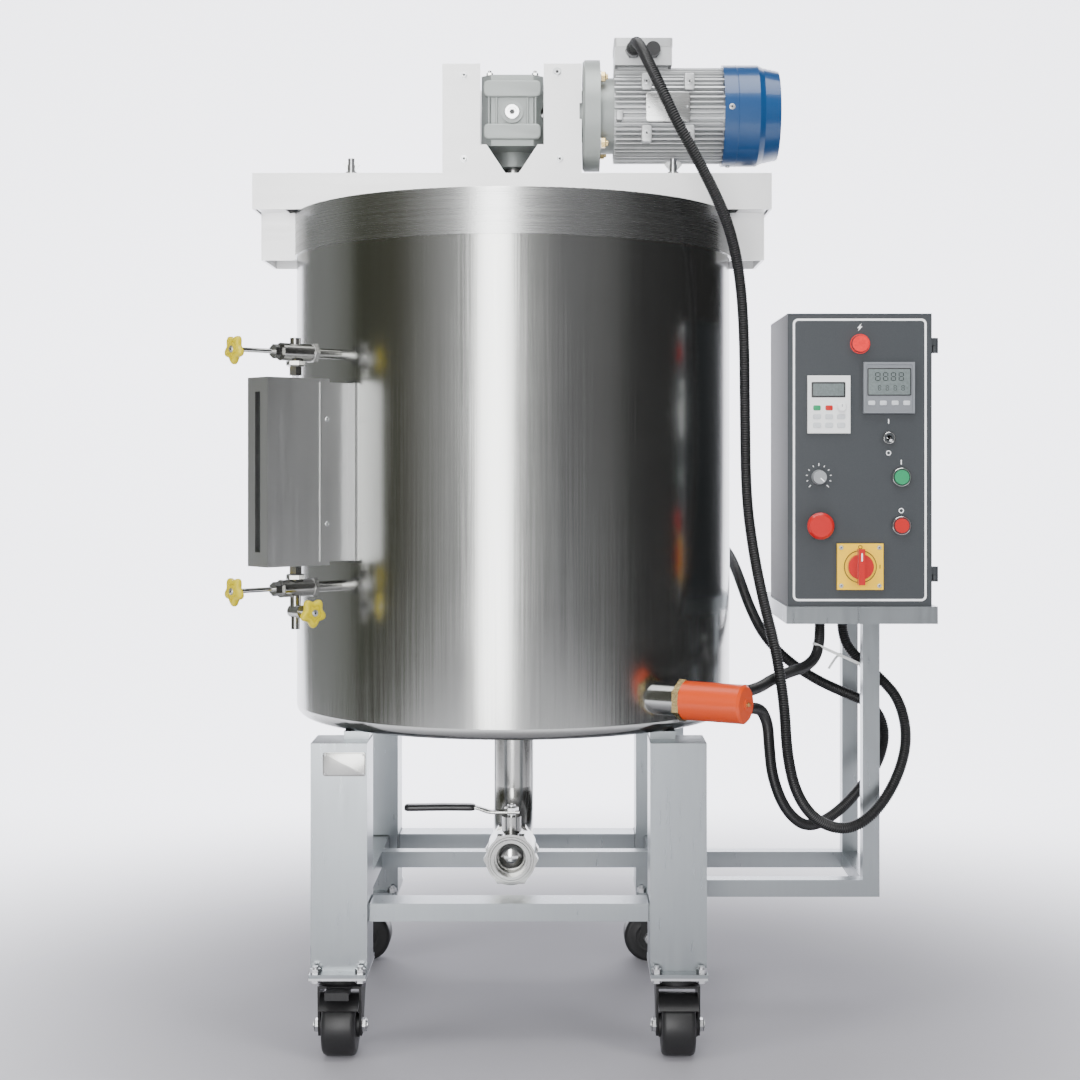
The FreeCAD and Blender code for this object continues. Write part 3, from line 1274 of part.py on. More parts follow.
def cabinet():
    """Cabinet on the tray, its door on two hinges, and the speed drive on its back plate."""
    low = s.tray_low + s.tray_tall
    wall = s.cab_wall
    deep = s.cab_back - s.cab_front
    shell = box(s.cab_x, s.cab_front, low, s.cab_width, deep, s.cab_tall)
    cave = box(s.cab_x + wall, s.cab_front, low + wall, s.cab_width - 2 * wall, deep - wall,
               s.cab_tall - 2 * wall)
    holes = [rod(s.entry_radius + s.air, wall, x, s.cab_gland_y, low)
             for x in (s.cab_gland_one, s.cab_gland_two)]
    hinge_x = s.cab_x + s.cab_width + s.hinge_out
    side = s.cab_x + s.cab_width
    fixed = []
    ears = []
    bores = []
    for z in hinge_heights():
        fixed.append(rod(s.hinge_radius, s.hinge_tall, hinge_x, s.cab_front, z))
        fixed.append(box(side, s.cab_front, z, s.hinge_out, s.hinge_radius, s.hinge_tall))
        fixed.append(rod(s.hinge_pin, 2 * s.hinge_tall, hinge_x, s.cab_front, z))
        top = z + s.hinge_tall + s.air
        ears.append(rod(s.hinge_radius, s.hinge_tall, hinge_x, s.cab_front, top))
        ears.append(box(side - wall, door_face() + s.door_deep / 2, top, s.hinge_out + wall,
                        s.door_deep / 2 + s.air, s.hinge_tall))
        bores.append(rod(s.hinge_pin + s.fit, s.hinge_tall, hinge_x, s.cab_front, top))
    node("cabinet_box", fuse(cut(shell, cave, *holes), *fixed))
    face = door_face()
    leaf = box(s.cab_x, face, low, s.cab_width, s.door_deep, s.cab_tall)
    hollow = box(s.cab_x + wall, face + wall, low + wall, s.cab_width - 2 * wall,
                 s.door_deep - wall, s.cab_tall - 2 * wall)
    collars = [face_rod(s.bezel_radius, s.bezel_out, s.button_u, v)
               for v in (s.lower_row, s.stop_row)]
    collars.append(face_rod(s.bezel_radius, 2 * s.bezel_out, s.knob_u, s.stop_row))
    collars.append(face_rod(s.toggle_nut, s.toggle_out, s.toggle_u, s.toggle_v))
    through = [face_rod(s.button_radius + s.air, s.bezel_out, s.button_u, v)
               for v in (s.lower_row, s.stop_row)]
    through += [face_rod(s.button_stem + s.air, s.bezel_out, s.button_u, v, wall)
                for v in (s.lower_row, s.stop_row)]
    through += [face_rod(s.mushroom_neck + s.air, 2 * s.bezel_out, s.knob_u, s.stop_row, wall),
                face_rod(s.toggle_bore, s.toggle_out, s.toggle_u, s.toggle_v, wall),
                face_rod(s.knob_shaft + s.fit, wall, s.knob_u, s.lower_row, wall),
                face_rod(s.knob_shaft * 2 + s.fit, wall, 0, s.switch_v, wall),
                face_rod(s.panel_hole + s.air, wall, 0, s.lamp_v, wall)]
    x, z = door_point(s.control_u, s.control_v)
    opening = s.control_side * 0.92 + 2 * s.air
    through.append(box(x - opening / 2, face, z - opening / 2, opening, wall, opening))
    node("cabinet_door", cut(fuse(cut(leaf, hollow), *collars, *ears), *through, *bores))
    plate_y = s.cab_back - wall - s.back_plate_gap - s.back_plate
    inset = s.hinge_inset / 2
    plate = box(s.cab_x + inset, plate_y, low + inset, s.cab_width - 2 * inset, s.back_plate,
                s.cab_tall - 2 * inset)
    posts = [rod(s.axle_radius, s.back_plate_gap, s.cab_x + s.cab_width / 2 + along,
                 plate_y + s.back_plate, low + s.cab_tall / 2 + up, "Y")
             for along in (-80, 80) for up in (-200, 200)]
    body = box(s.cab_x + s.cab_width / 2 - s.drive_wide / 2, plate_y - s.drive_deep,
               low + s.cab_tall / 2 - s.drive_tall / 2, s.drive_wide, s.drive_deep, s.drive_tall)
    node("speed_drive", fuse(plate, *posts), body)


def hinge_heights():
    """Heights of the two hinges' fixed halves."""
    low = s.tray_low + s.tray_tall
    return (low + s.hinge_inset, low + s.cab_tall - s.hinge_inset - 2 * s.hinge_tall)


def door_face():
    """Y of the door's front face."""
    return s.cab_front - s.door_gap - s.door_deep


def door_point(u, v):
    """X and Z of a place on the door, from its middle."""
    return (s.cab_x + s.cab_width / 2 + u, s.tray_low + s.tray_tall + s.cab_tall / 2 + v)


def face_rod(radius, out, u, v, inside=0):
    """Cylinder that stands out of the door's face and goes in behind it."""
    x, z = door_point(u, v)
    return rod(radius, inside + out, x, door_face() + inside, z, "-Y")


def controls():
    """Lamp, keypad, temperature controller, switch plate, buttons, knob and switches."""
    face = door_face()
    inside = s.stem_inside
    node("power_lamp", fuse(face_rod(s.lamp_radius, s.lamp_out * 0.45, 0, s.lamp_v),
                            face_rod(s.lamp_radius * 0.84, s.lamp_out, 0, s.lamp_v),
                            face_rod(s.panel_hole, 1, 0, s.lamp_v, inside)))
    x, z = door_point(s.keypad_u, s.keypad_v)
    node("drive_keypad", box(x - s.keypad_wide / 2, face - s.keypad_out, z - s.keypad_tall / 2,
                             s.keypad_wide, s.keypad_out, s.keypad_tall))
    x, z = door_point(s.control_u, s.control_v)
    side = s.control_side
    body = side * 0.92
    node("temperature_controller", fuse(
        box(x - side / 2, face - s.control_out, z - side / 2, side, s.control_out, side),
        box(x - body / 2, face, z - body / 2, body, s.control_deep, body)))
    x, z = door_point(0, s.switch_v)
    side = s.switch_side
    plate = box(x - side / 2, face - s.switch_out, z - side / 2, side, s.switch_out, side)
    node("main_switch_plate", cut(plate, face_rod(s.knob_shaft * 2 + s.fit, s.switch_out, 0,
                                                   s.switch_v)))
    handle = rod(s.handle_radius, s.handle_disc, x, face - s.switch_out - s.air, z, "-Y")
    bar = box(x - s.handle_wide / 2, face - s.handle_out, z - s.handle_long, s.handle_wide,
              s.handle_out - s.switch_out - s.air, 2 * s.handle_long)
    shaft = face_rod(s.knob_shaft * 2, s.switch_out + s.handle_disc, 0, s.switch_v, inside)
    node("main_switch_handle", fuse(handle, bar, shaft))
    rest = s.button_travel + s.air
    for label, v in (("start_button", s.lower_row), ("stop_button", s.stop_row)):
        x, z = door_point(s.button_u, v)
        head = rod(s.button_radius, s.button_out - rest, x, face - rest, z, "-Y")
        stem = face_rod(s.button_stem, rest + 1, s.button_u, v, inside)
        node(label, fuse(head, stem))
    x, z = door_point(s.knob_u, s.stop_row)
    back = s.mushroom_out - s.mushroom_thick
    head = rod(s.mushroom_radius, s.mushroom_thick * 0.6, x, face - back, z, "-Y")
    crown = cone(s.mushroom_radius, s.mushroom_radius * 0.82, s.mushroom_thick * 0.4, x,
                 face - back - s.mushroom_thick * 0.6, z, "-Y")
    neck = face_rod(s.mushroom_neck, back + 1, s.knob_u, s.stop_row, inside)
    node("emergency_button", fuse(head, crown, neck))
    x, z = door_point(s.knob_u, s.lower_row)
    grip = cone(s.knob_radius, s.knob_radius * 0.88, s.knob_out - s.air, x, face - s.air, z, "-Y")
    pin = face_rod(s.knob_shaft, 2, s.knob_u, s.lower_row, inside)
    node("speed_knob", fuse(grip, pin))
    x, z = door_point(s.toggle_u, s.toggle_v)
    lever = seat(group(rod(s.toggle_radius, s.toggle_long, 0, 0, 0, "-Y")), 0, 0, 0, "X",
                 s.toggle_tilt)
    pivot = rod(s.toggle_pin, 2 * s.toggle_pin_half, -s.toggle_pin_half, 0, 0, "X")
    lever_piece = fuse(lever, pivot)
    node("toggle_lever", seat(group(lever_piece), x, face, z))


def heater_point(along, across, up):
    """Place that is laid out from the heater's socket, in the tank's frame."""
    angle = math.radians(float(s.heater_turn))
    place = heater_place()
    x = float(place[0]) + along * math.cos(angle) - across * math.sin(angle)
    y = float(place[1]) + along * math.sin(angle) + across * math.cos(angle)
    return FreeCAD.Vector(x, y, float(place[2]) + up)


def entry_tip(up, out=0):
    """Outer end of one of the heater cap's two cable entries, or a place further out."""
    along = float(s.socket_out + s.hex_long + s.entry_place)
    return heater_point(along, float(s.entry_reach) + out, up)


def cable_fittings():
    """Cable glands: two on the terminal box, two below the cabinet, two on the heater's cap."""
    pieces = []
    for x in (s.gland_near, s.gland_far):
        pieces.append(fuse(
            hexagon(s.gland_radius * 1.1, s.gland_long * 0.4, x, s.box_front, s.gland_height,
                    "-Y"),
            rod(s.gland_radius, s.gland_long, x, s.box_front, s.gland_height, "-Y")))
    tray_top = s.tray_low + s.tray_tall
    under = tray_top - s.tray_wall
    for x in (s.cab_gland_one, s.cab_gland_two):
        pieces.append(fuse(
            rod(s.entry_radius, s.tray_wall + s.cab_wall + s.nut_tall, x, s.cab_gland_y, under),
            hexagon(s.gland_nut, s.nut_tall, x, s.cab_gland_y, tray_top + s.cab_wall),
            hexagon(s.gland_nut, s.nut_tall, x, s.cab_gland_y, under - s.nut_tall),
            rod(s.entry_radius, s.gland_long, x, s.cab_gland_y, under - s.gland_long)))
    place = heater_place()
    for side in (-1, 1):
        along = s.socket_out + s.hex_long + s.entry_place
        up = side * s.entry_half
        post = rod(s.entry_radius, s.entry_reach, along, 0, up, "Y")
        nut = hexagon(s.entry_radius * 1.15, s.nut_tall, along,
                      s.entry_reach - s.nut_tall * 1.5, up, "Y")
        skin = rod(s.cap_radius + s.weld, s.cap_long, s.socket_out + s.hex_long, 0, 0, "X")
        entry = group(cut(fuse(post, nut), skin))
        pieces.append(seat(entry, *place, "Z", s.heater_turn))
    probe = fuse(
        rod(s.probe_radius, s.probe_boss, s.tank_radius + s.weld, 0, s.probe_height, "X"),
        hexagon(s.gland_nut, s.nut_tall, s.tank_radius + s.probe_boss, 0, s.probe_height, "X"),
        rod(s.entry_radius, s.probe_out, s.tank_radius + s.weld, 0, s.probe_height, "X"))
    pieces.append(seat(group(probe), 0, 0, 0, "Z", s.probe_turn))
    node("cable_fittings", *pieces)


def cord(label, points):
    """Round tube along straight runs joined by arcs as large as the runs allow."""
    points = [FreeCAD.Vector(*[float(item) for item in point]) for point in points]
    edges = []
    radii = []
    start = points[0]
    for before, corner, after in zip(points, points[1:], points[2:]):
        back = before - corner
        ahead = after - corner
        reach = CORD_SHARE * min(back.Length, ahead.Length)
        back.normalize()
        ahead.normalize()
        half_turn = (math.pi - back.getAngle(ahead)) / 2
        radius = reach / math.tan(half_turn)
        radii.append(radius)
        middle = (back + ahead).normalize() * (radius / math.cos(half_turn) - radius)
        leave = corner + back * reach
        join = corner + ahead * reach
        edges.append(Part.LineSegment(start, leave).toShape())
        edges.append(Part.Arc(leave, corner + middle, join).toShape())
        start = join
    edges.append(Part.LineSegment(start, points[-1]).toShape())
    path = Part.Wire(edges)
    size = float(s.conduit_radius)
    ring = Part.Wire(Part.Circle(points[0], points[1] - points[0], size).toShape())
    obj = doc.addObject("Part::Feature", "tube")
    obj.Shape = path.makePipeShell([ring], True, False)
    round_area = math.pi * size * size
    print(label, "length %.0f, tightest radius %.0f, volume over section times length %.4f"
          % (path.Length, min(radii), obj.Shape.Volume / (round_area * path.Length)))
    print("  radii", " ".join("%.0f" % radius for radius in radii))
    node(label, obj)


def cords():
    """The three conduits, each from gland to gland."""
    under = s.tray_low + s.tray_tall - s.tray_wall - s.gland_long
    one = (s.cab_gland_one, s.cab_gland_y, under)
    two = (s.cab_gland_two, s.cab_gland_y, under)
    tip_y = s.box_front - s.gland_long
    cord("conduit_motor", [
        (s.gland_near, tip_y, s.gland_height), (s.gland_near, tip_y - 55, s.gland_height),
        (222.6, -256.6, 1720.7), (235.4, -298.3, 1682.4), (257, -320.8, 1631),
        (284, -322, 1572), (316, -308, 1520), (349, -283, 1463), (377, -254, 1409),
        (397, -228, 1337), (407, -213, 1241), (409.4, -206, 1093), (411, -207, 944.6),
        (422.2, -217, 849), (436.4, -245, 764), (456, -269, 680), (470, -273, 587),
        (475.7, -262, 499), (494, -243, 427), (534, -217, 374), (591, -198, 356),
        (642, -186, 385), (684.5, -165, 443), (707.5, -138, 509), (698, -112, 574),
        (668, -90, 610), (634, -78, 640), (608, -72, 668),
        (two[0], two[1], two[2] - 28), two])
    upper = entry_tip(float(s.entry_half))
    cord("conduit_heater", [
        upper, entry_tip(float(s.entry_half), 55), (450, -246, 626), (484, -206, 634),
        (520, -160, 638), (546, -115, 650), (557, -86, 676), (one[0], one[1], one[2] - 24), one])
    lower = entry_tip(-float(s.entry_half))
    angle = math.radians(float(s.probe_turn))
    tip = float(s.tank_radius + s.weld + s.probe_out)
    cord("conduit_probe", [
        (tip * math.cos(angle), tip * math.sin(angle), s.probe_height),
        ((tip + 54) * math.cos(angle), (tip + 54) * math.sin(angle), s.probe_height),
        (205, 508, 896), (256, 532, 890), (311, 524, 880), (356, 488, 869), (389, 435, 856),
        (412, 340, 838), (422, 250, 823), (425, 168, 806), (430, 100, 781), (443, 38, 730),
        (466, -2, 678), (508, -16, 634), (562, -8, 598), (618, 4, 572), (672, 15, 550),
        (697, 18, 502), (683, 4, 447), (643, -24, 400), (590, -68, 360), (532, -118, 343),
        (486, -166, 383), (457, -206, 450), (448, -236, 512), (443, -258, 556),
        entry_tip(-float(s.entry_half), 53), lower])


def check_all():
    """Stop if any object failed or any sub-part has no sound solid."""
    for obj in doc.Objects:
        for word in ("Invalid", "Error"):
            if word in obj.State:
                raise SystemExit("%s is %s" % (obj.Label, obj.State))
    for obj in NODES:
        if obj.Shape.isNull() or not obj.Shape.isValid() or not obj.Shape.Solids:
            raise SystemExit("%s has no sound solid" % obj.Label)


def write_all():
    """Write one file for each sub-part and say how large the whole is."""
    os.makedirs("parts", exist_ok=True)
    whole = FreeCAD.BoundBox()
    for obj in NODES:
        obj.Shape.exportStep("parts/%s.step" % obj.Label)
        if not obj.Label.startswith("conduit_"):
            whole.add(obj.Shape.optimalBoundingBox(False))
    print(len(NODES), "sub-parts, without the conduits", whole)
    print("middle of the footprint", (whole.XMin + whole.XMax) / 2, (whole.YMin + whole.YMax) / 2)


leg_frame()
fasteners()
caster_plates()
caster("front_left", -1, -1, s.front_yaw)
caster("front_right", 1, -1, s.front_yaw)
caster("rear_left", -1, 1, s.rear_yaw)
caster("rear_right", 1, 1, s.rear_yaw)
brake_pedal()
arm_frame()
tank_shell()
tank_vessel()
rim_band()
bearer_lugs()
cross_beam()
lids()
gear_cover()
gear_housing()
motor()
rotor()
agitator()
drain()
heater()
gauge()
cabinet()
controls()
cable_fittings()
cords()
doc.recompute()
check_all()
write_all()
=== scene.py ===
"""Looks of the jacketed chocolate melting tank: finishes, conduits and small fittings.

Lengths in the classes are millimetres from the tank's axis, with Z up from the floor, as the
object is laid out. Place turns them into metres in the frame.
"""
from __future__ import annotations

import json
import logging
import math
from dataclasses import dataclass, field
from enum import Enum
from itertools import accumulate

import bpy
import numpy as np
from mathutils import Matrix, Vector

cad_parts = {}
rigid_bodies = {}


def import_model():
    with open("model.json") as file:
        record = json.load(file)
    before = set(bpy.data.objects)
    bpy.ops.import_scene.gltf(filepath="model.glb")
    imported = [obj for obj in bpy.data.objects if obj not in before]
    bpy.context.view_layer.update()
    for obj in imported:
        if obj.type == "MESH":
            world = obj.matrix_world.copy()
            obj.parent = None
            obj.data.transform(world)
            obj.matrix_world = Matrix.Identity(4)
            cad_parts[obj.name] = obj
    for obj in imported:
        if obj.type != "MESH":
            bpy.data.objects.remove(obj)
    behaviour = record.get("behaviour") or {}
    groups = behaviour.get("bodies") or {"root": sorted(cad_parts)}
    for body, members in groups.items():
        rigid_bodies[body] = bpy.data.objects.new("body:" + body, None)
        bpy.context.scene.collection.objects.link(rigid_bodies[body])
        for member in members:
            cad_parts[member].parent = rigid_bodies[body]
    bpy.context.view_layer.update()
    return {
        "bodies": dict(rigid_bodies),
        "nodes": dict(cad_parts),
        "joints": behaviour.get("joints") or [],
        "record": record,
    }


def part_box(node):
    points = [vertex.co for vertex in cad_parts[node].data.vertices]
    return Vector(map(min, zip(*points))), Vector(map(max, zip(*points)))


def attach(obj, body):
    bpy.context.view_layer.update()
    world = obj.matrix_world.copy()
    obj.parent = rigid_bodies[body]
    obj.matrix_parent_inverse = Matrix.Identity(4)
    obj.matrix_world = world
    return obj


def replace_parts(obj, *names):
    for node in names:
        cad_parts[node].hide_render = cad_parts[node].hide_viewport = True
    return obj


LOG = logging.getLogger("melting_tank")
MM = 0.001
ROOT = "stand"
RISE = np.array([0.0, 0.0, 1.0])
Colour = tuple[float, float, float]
Point = tuple[float, float, float] | np.ndarray


class Axis(Enum):
    """Direction that a turned or drawn shape runs along."""

    X = (1.0, 0.0, 0.0)
    Y = (0.0, 1.0, 0.0)
    Z = (0.0, 0.0, 1.0)
    BACK_X = (-1.0, 0.0, 0.0)
    FRONT = (0.0, -1.0, 0.0)


@dataclass
class Place:
    """Place of the tank's axis in the frame, in metres."""

    x: float
    y: float

    @classmethod
    def of_axis(cls) -> "Place":
        """Read the axis from the agitator's shaft.

        Returns:
            The place whose x and y are the middle of the shaft's box.
        """
        low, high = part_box("agitator_shaft")
        return cls((low.x + high.x) / 2, (low.y + high.y) / 2)

    def points(self, millimetres: np.ndarray | list[Point]) -> np.ndarray:
        """Turn millimetres from the tank's axis into metres in the frame.

        Args:
            millimetres: Points as rows of x, y and z.

        Returns:
            The same points in metres, moved by the axis.
        """
        rows = np.asarray(millimetres, float).reshape(-1, 3) * MM
        return rows + np.array([self.x, self.y, 0.0])


class Value:
    """A socket of a node tree with the usual arithmetic, each step one Math node."""

    def __init__(self, shader: "Shader", socket: bpy.types.NodeSocket) -> None:
        """Wrap a socket of the shader's tree."""
        self.shader = shader
        self.socket = socket

    def _step(self, operation: str, first: object, second: object) -> "Value":
        """Add one Math node.

        Args:
            operation: The node's operation.
            first: First operand, a Value or a number.
            second: Second operand, a Value or a number.

        Returns:
            The node's result.
        """
        return self.shader.node("ShaderNodeMath", {"operation": operation}, {0: first, 1: second})

    def __add__(self, other: object) -> "Value":
        """Sum."""
        return self._step("ADD", self, other)

    def __radd__(self, other: object) -> "Value":
        """Sum, reflected."""
        return self._step("ADD", other, self)

    def __sub__(self, other: object) -> "Value":
        """Difference."""
        return self._step("SUBTRACT", self, other)

    def __rsub__(self, other: object) -> "Value":
        """Difference, reflected."""
        return self._step("SUBTRACT", other, self)

    def __mul__(self, other: object) -> "Value":
        """Product."""
        return self._step("MULTIPLY", self, other)

    def __rmul__(self, other: object) -> "Value":
        """Product, reflected."""
        return self._step("MULTIPLY", other, self)

    def __truediv__(self, other: object) -> "Value":
        """Quotient."""
        return self._step("DIVIDE", self, other)

    def __rtruediv__(self, other: object) -> "Value":
        """Quotient, reflected."""
        return self._step("DIVIDE", other, self)

    def __gt__(self, other: object) -> "Value":
        """One where greater, else zero."""
        return self._step("GREATER_THAN", self, other)

    def __pow__(self, other: object) -> "Value":
        """Power."""
        return self._step("POWER", self, other)


class Shader:
    """One material's node tree round a Principled shader."""

    def __init__(self, name: str) -> None:
        """Start a material of this name with an empty Principled shader."""
        self.material = bpy.data.materials.new(name)
        self.material.use_nodes = True
        self.tree = self.material.node_tree
        self.main = self.tree.nodes["Principled BSDF"]

    def node(self, kind: str, settings: dict | None = None, inputs: dict | None = None,
             output: int | str = 0) -> Value:
        """Add a node, set it up and link it.

        Args:
            kind: The node's type.
            settings: Properties of the node, set first. "stops" holds a ramp's places and colours.
            inputs: Values or links by socket name or number.
            output: Name or number of the output to hand back.

        Returns:
            The output as a Value.
        """
        made = self.tree.nodes.new(kind)
        for key, setting in (settings or {}).items():
            if key == "stops":
                self._stops(made.color_ramp, setting)
            else:
                setattr(made, key, setting)
        for key, item in (inputs or {}).items():
            self.feed(made.inputs[key], item)
        return Value(self, made.outputs[output])

    def _stops(self, ramp: bpy.types.ColorRamp, stops: list[tuple[float, Colour]]) -> None:
        """Give a ramp its places and colours."""
        while len(ramp.elements) < len(stops):
            ramp.elements.new(0.5)
        for element, (place, colour) in zip(ramp.elements, stops):
            element.position = place
            element.color = (*colour, 1.0)

    def feed(self, socket: bpy.types.NodeSocket, item: object) -> None:
        """Link a Value to a socket, or set the socket's own number or colour."""
        if isinstance(item, Value):
            self.tree.links.new(item.socket, socket)
        elif isinstance(item, tuple) and socket.type == "RGBA":
            socket.default_value = (*item, 1.0)
        else:
            socket.default_value = item

    def set(self, **items: object) -> None:
        """Feed the Principled shader's sockets, named with underscores for spaces."""
        for key, item in items.items():
            self.feed(self.main.inputs[key.replace("_", " ")], item)

    def place(self) -> Value:
        """Object coordinates in metres."""
        return self.node("ShaderNodeTexCoord", output="Object")

    def stretched(self, scale: Point) -> Value:
        """Object coordinates multiplied along each axis.

        Args:
            scale: Multiplier of x, y and z.

        Returns:
            The stretched vector.
        """
        return self.node("ShaderNodeVectorMath", {"operation": "MULTIPLY"},
                         {0: self.place(), 1: scale})

    def noise(self, vector: Value, scale: float, detail: float = 3.0,
              roughness: float = 0.5) -> Value:
        """Noise from 0 to 1.

        Args:
            vector: Where it is read.
            scale: Cells to the metre of the vector.
            detail: Octaves.
            roughness: Share of each finer octave.

        Returns:
            The noise's factor.
        """
        return self.node("ShaderNodeTexNoise", inputs={
            "Vector": vector, "Scale": scale, "Detail": detail, "Roughness": roughness})

    def blend(self, factor: object, first: object, second: object) -> Value:
        """Mix of two colours by a factor from 0 to 1."""
        return self.node("ShaderNodeMix", {"data_type": "RGBA"},
                         {0: factor, 6: first, 7: second}, output=2)

    def bump(self, height: Value, distance: float, strength: float = 1.0) -> None:
        """Feed a height to the shader's Normal through a Bump node.

        Args:
            height: Height from 0 to 1.
            distance: Metres that a height of 1 stands for.
            strength: Share of the effect.
        """
        self.set(Normal=self.node("ShaderNodeBump", inputs={
            "Strength": strength, "Distance": distance, "Height": height}))


@dataclass(frozen=True)
class BrushedSteel:
    """Stainless steel with a grain along one axis.

    Attributes:
        name: Material name.
        colour: Base colour.
        roughness: Mean roughness.
        grain: Multipliers of x, y and z; the grain runs along the small one.
        spread: How far roughness wanders.
        shade: Darkest share of the base colour in the blotches.
    """

    name: str
    colour: Colour = (0.62, 0.62, 0.61)
    roughness: float = 0.27
    grain: Point = (900.0, 900.0, 6.0)
    spread: float = 0.16
    shade: float = 0.86

    def material(self) -> bpy.types.Material:
        """Build the material: streaks stretched along the grain, soft blotches over them."""
        shader = Shader(self.name)
        streak = shader.noise(shader.stretched(self.grain), 1.0, 2.0)
        cloud = shader.noise(shader.place(), 5.0, 3.0)
        dark = tuple(channel * self.shade for channel in self.colour)
        shader.set(Base_Color=shader.blend(cloud * 0.6 + streak * 0.4, dark, self.colour),
                   Metallic=1.0,
                   Roughness=streak * self.spread + cloud * 0.06 + (self.roughness - 0.11))
        shader.bump(streak, 0.00006, 0.35)
        return shader.material


@dataclass(frozen=True)
class PlainMetal:
    """Metal without a grain: plated, cast, machined or polished.

    Attributes:
        name: Material name.
        colour: Base colour.
        roughness: Mean roughness.
        metallic: Share of metal.
        pits: Depth of the surface's unevenness in millimetres.
        cells: Pits to the metre.
    """

    name: str
    colour: Colour
    roughness: float = 0.3
    metallic: float = 1.0
    pits: float = 0.03
    cells: float = 160.0

    def material(self) -> bpy.types.Material:
        """Build the material: fine noise in roughness, colour and bump."""
        shader = Shader(self.name)
        grit = shader.noise(shader.place(), self.cells, 4.0, 0.6)
        dark = tuple(channel * 0.88 for channel in self.colour)
        shader.set(Base_Color=shader.blend(grit, dark, self.colour), Metallic=self.metallic,
                   Roughness=grit * 0.14 + (self.roughness - 0.07))
        shader.bump(grit, self.pits * MM, 0.5)
        return shader.material


@dataclass(frozen=True)
class Coated:
    """Paint, powder coat, plastic or rubber.

    Attributes:
        name: Material name.
        colour: Base colour.
        roughness: Mean roughness.
        coat: Weight of the clear coat.
        grain: Depth of the texture in millimetres.
        cells: Texture cells to the metre.
        fleck: How much lighter the texture's tops are.
    """

    name: str
    colour: Colour
    roughness: float = 0.4
    coat: float = 0.0
    grain: float = 0.02
    cells: float = 500.0
    fleck: float = 0.08

    def material(self) -> bpy.types.Material:
        """Build the material: a fine even texture in colour, roughness and bump."""
        shader = Shader(self.name)
        grit = shader.noise(shader.place(), self.cells, 3.0, 0.6)
        light = tuple(min(1.0, channel * (1 + 2 * self.fleck) + self.fleck * 0.05)
                      for channel in self.colour)
        shader.set(Base_Color=shader.blend(grit, self.colour, light), Metallic=0.0,
                   Roughness=grit * 0.1 + (self.roughness - 0.05), Coat_Weight=self.coat)
        shader.bump(grit, self.grain * MM, 0.6)
        return shader.material


@dataclass(frozen=True)
class Clear:
    """Clear glass or display window.

    Attributes:
        name: Material name.
        colour: Tint.
        alpha: Opacity.
    """

    name: str
    colour: Colour = (0.9, 0.95, 0.95)
    alpha: float = 0.3

    def material(self) -> bpy.types.Material:
        """Build the material: a glossy surface that is mostly clear."""
        shader = Shader(self.name)
        smear = shader.noise(shader.place(), 40.0)
        shader.set(Base_Color=self.colour, Roughness=smear * 0.06 + 0.02, Alpha=self.alpha)
        return shader.material


@dataclass(frozen=True)
class Glowing:
    """Lamp lens or lit display.

    Attributes:
        name: Material name.
        colour: Base and light colour.
        strength: Emission strength.
    """

    name: str
    colour: Colour
    strength: float = 0.4

    def material(self) -> bpy.types.Material:
        """Build the material: coloured gloss with a faint light of its own."""
        shader = Shader(self.name)
        facets = shader.noise(shader.place(), 260.0, 1.0)
        dark = tuple(channel * 0.55 for channel in self.colour)
        shader.set(Base_Color=shader.blend(facets, dark, self.colour), Roughness=0.18,
                   Coat_Weight=0.6, Emission_Color=self.colour, Emission_Strength=self.strength)
        return shader.material


Rings = np.ndarray


def unit(vectors: np.ndarray) -> np.ndarray:
    """Vectors scaled to length 1 along the last axis."""
    return vectors / np.linalg.norm(vectors, axis=-1, keepdims=True)


def sides_of(along: Axis | Point) -> tuple[np.ndarray, np.ndarray, np.ndarray]:
    """Two unit vectors square to a direction, and the direction, as a right-handed set.

    Args:
        along: The direction.

    Returns:
        Right, up and along: right x up = along.
    """
    third = unit(np.asarray(along.value if isinstance(along, Axis) else along, float))
    helper = np.array([0.0, 0.0, 1.0]) if abs(third[2]) < 0.9 else np.array([0.0, 1.0, 0.0])
    first = unit(np.cross(helper, third))
    return first, np.cross(third, first), third


def heading(degrees: float) -> tuple[np.ndarray, np.ndarray]:
    """Level directions at an angle a: (cos a, sin a, 0) and, square to it, (-sin a, cos a, 0)."""
    angle = math.radians(degrees)
    return (np.array([math.cos(angle), math.sin(angle), 0.0]),
            np.array([-math.sin(angle), math.cos(angle), 0.0]))


def circle(radius: float, sides: int = 32) -> np.ndarray:
    """Circle as rows (r cos u, r sin u), with u from 0 to 2 pi."""
    turn = np.linspace(0, 2 * math.pi, sides, endpoint=False)
    return radius * np.column_stack([np.cos(turn), np.sin(turn)])


def rounded(width: float, height: float, corner: float, steps: int = 5) -> np.ndarray:
    """Rectangle with round corners: four corner centres plus r (cos u, sin u), u by quarters.

    Args:
        width: Full width.
        height: Full height.
        corner: Corner radius.
        steps: Points to a corner.

    Returns:
        The outline, counterclockwise.
    """
    corner = min(corner, width / 2 - 0.01, height / 2 - 0.01)
    turn = np.linspace(0, math.pi / 2, steps)[None, :] + (math.pi / 2) * np.arange(4)[:, None]
    signs = np.array([(1, 1), (-1, 1), (-1, -1), (1, -1)], float)
    centres = signs * np.array([width / 2 - corner, height / 2 - corner])
    arcs = corner * np.stack([np.cos(turn), np.sin(turn)], axis=-1)
    return (centres[:, None, :] + arcs).reshape(-1, 2)


def star(lobes: int, radius: float, depth: float, sides: int = 60) -> np.ndarray:
    """Lobed outline: radius r + d cos(n u) at the angle u."""
    turn = np.linspace(0, 2 * math.pi, sides, endpoint=False)
    reach = radius + depth * np.cos(lobes * turn)
    return reach[:, None] * np.column_stack([np.cos(turn), np.sin(turn)])


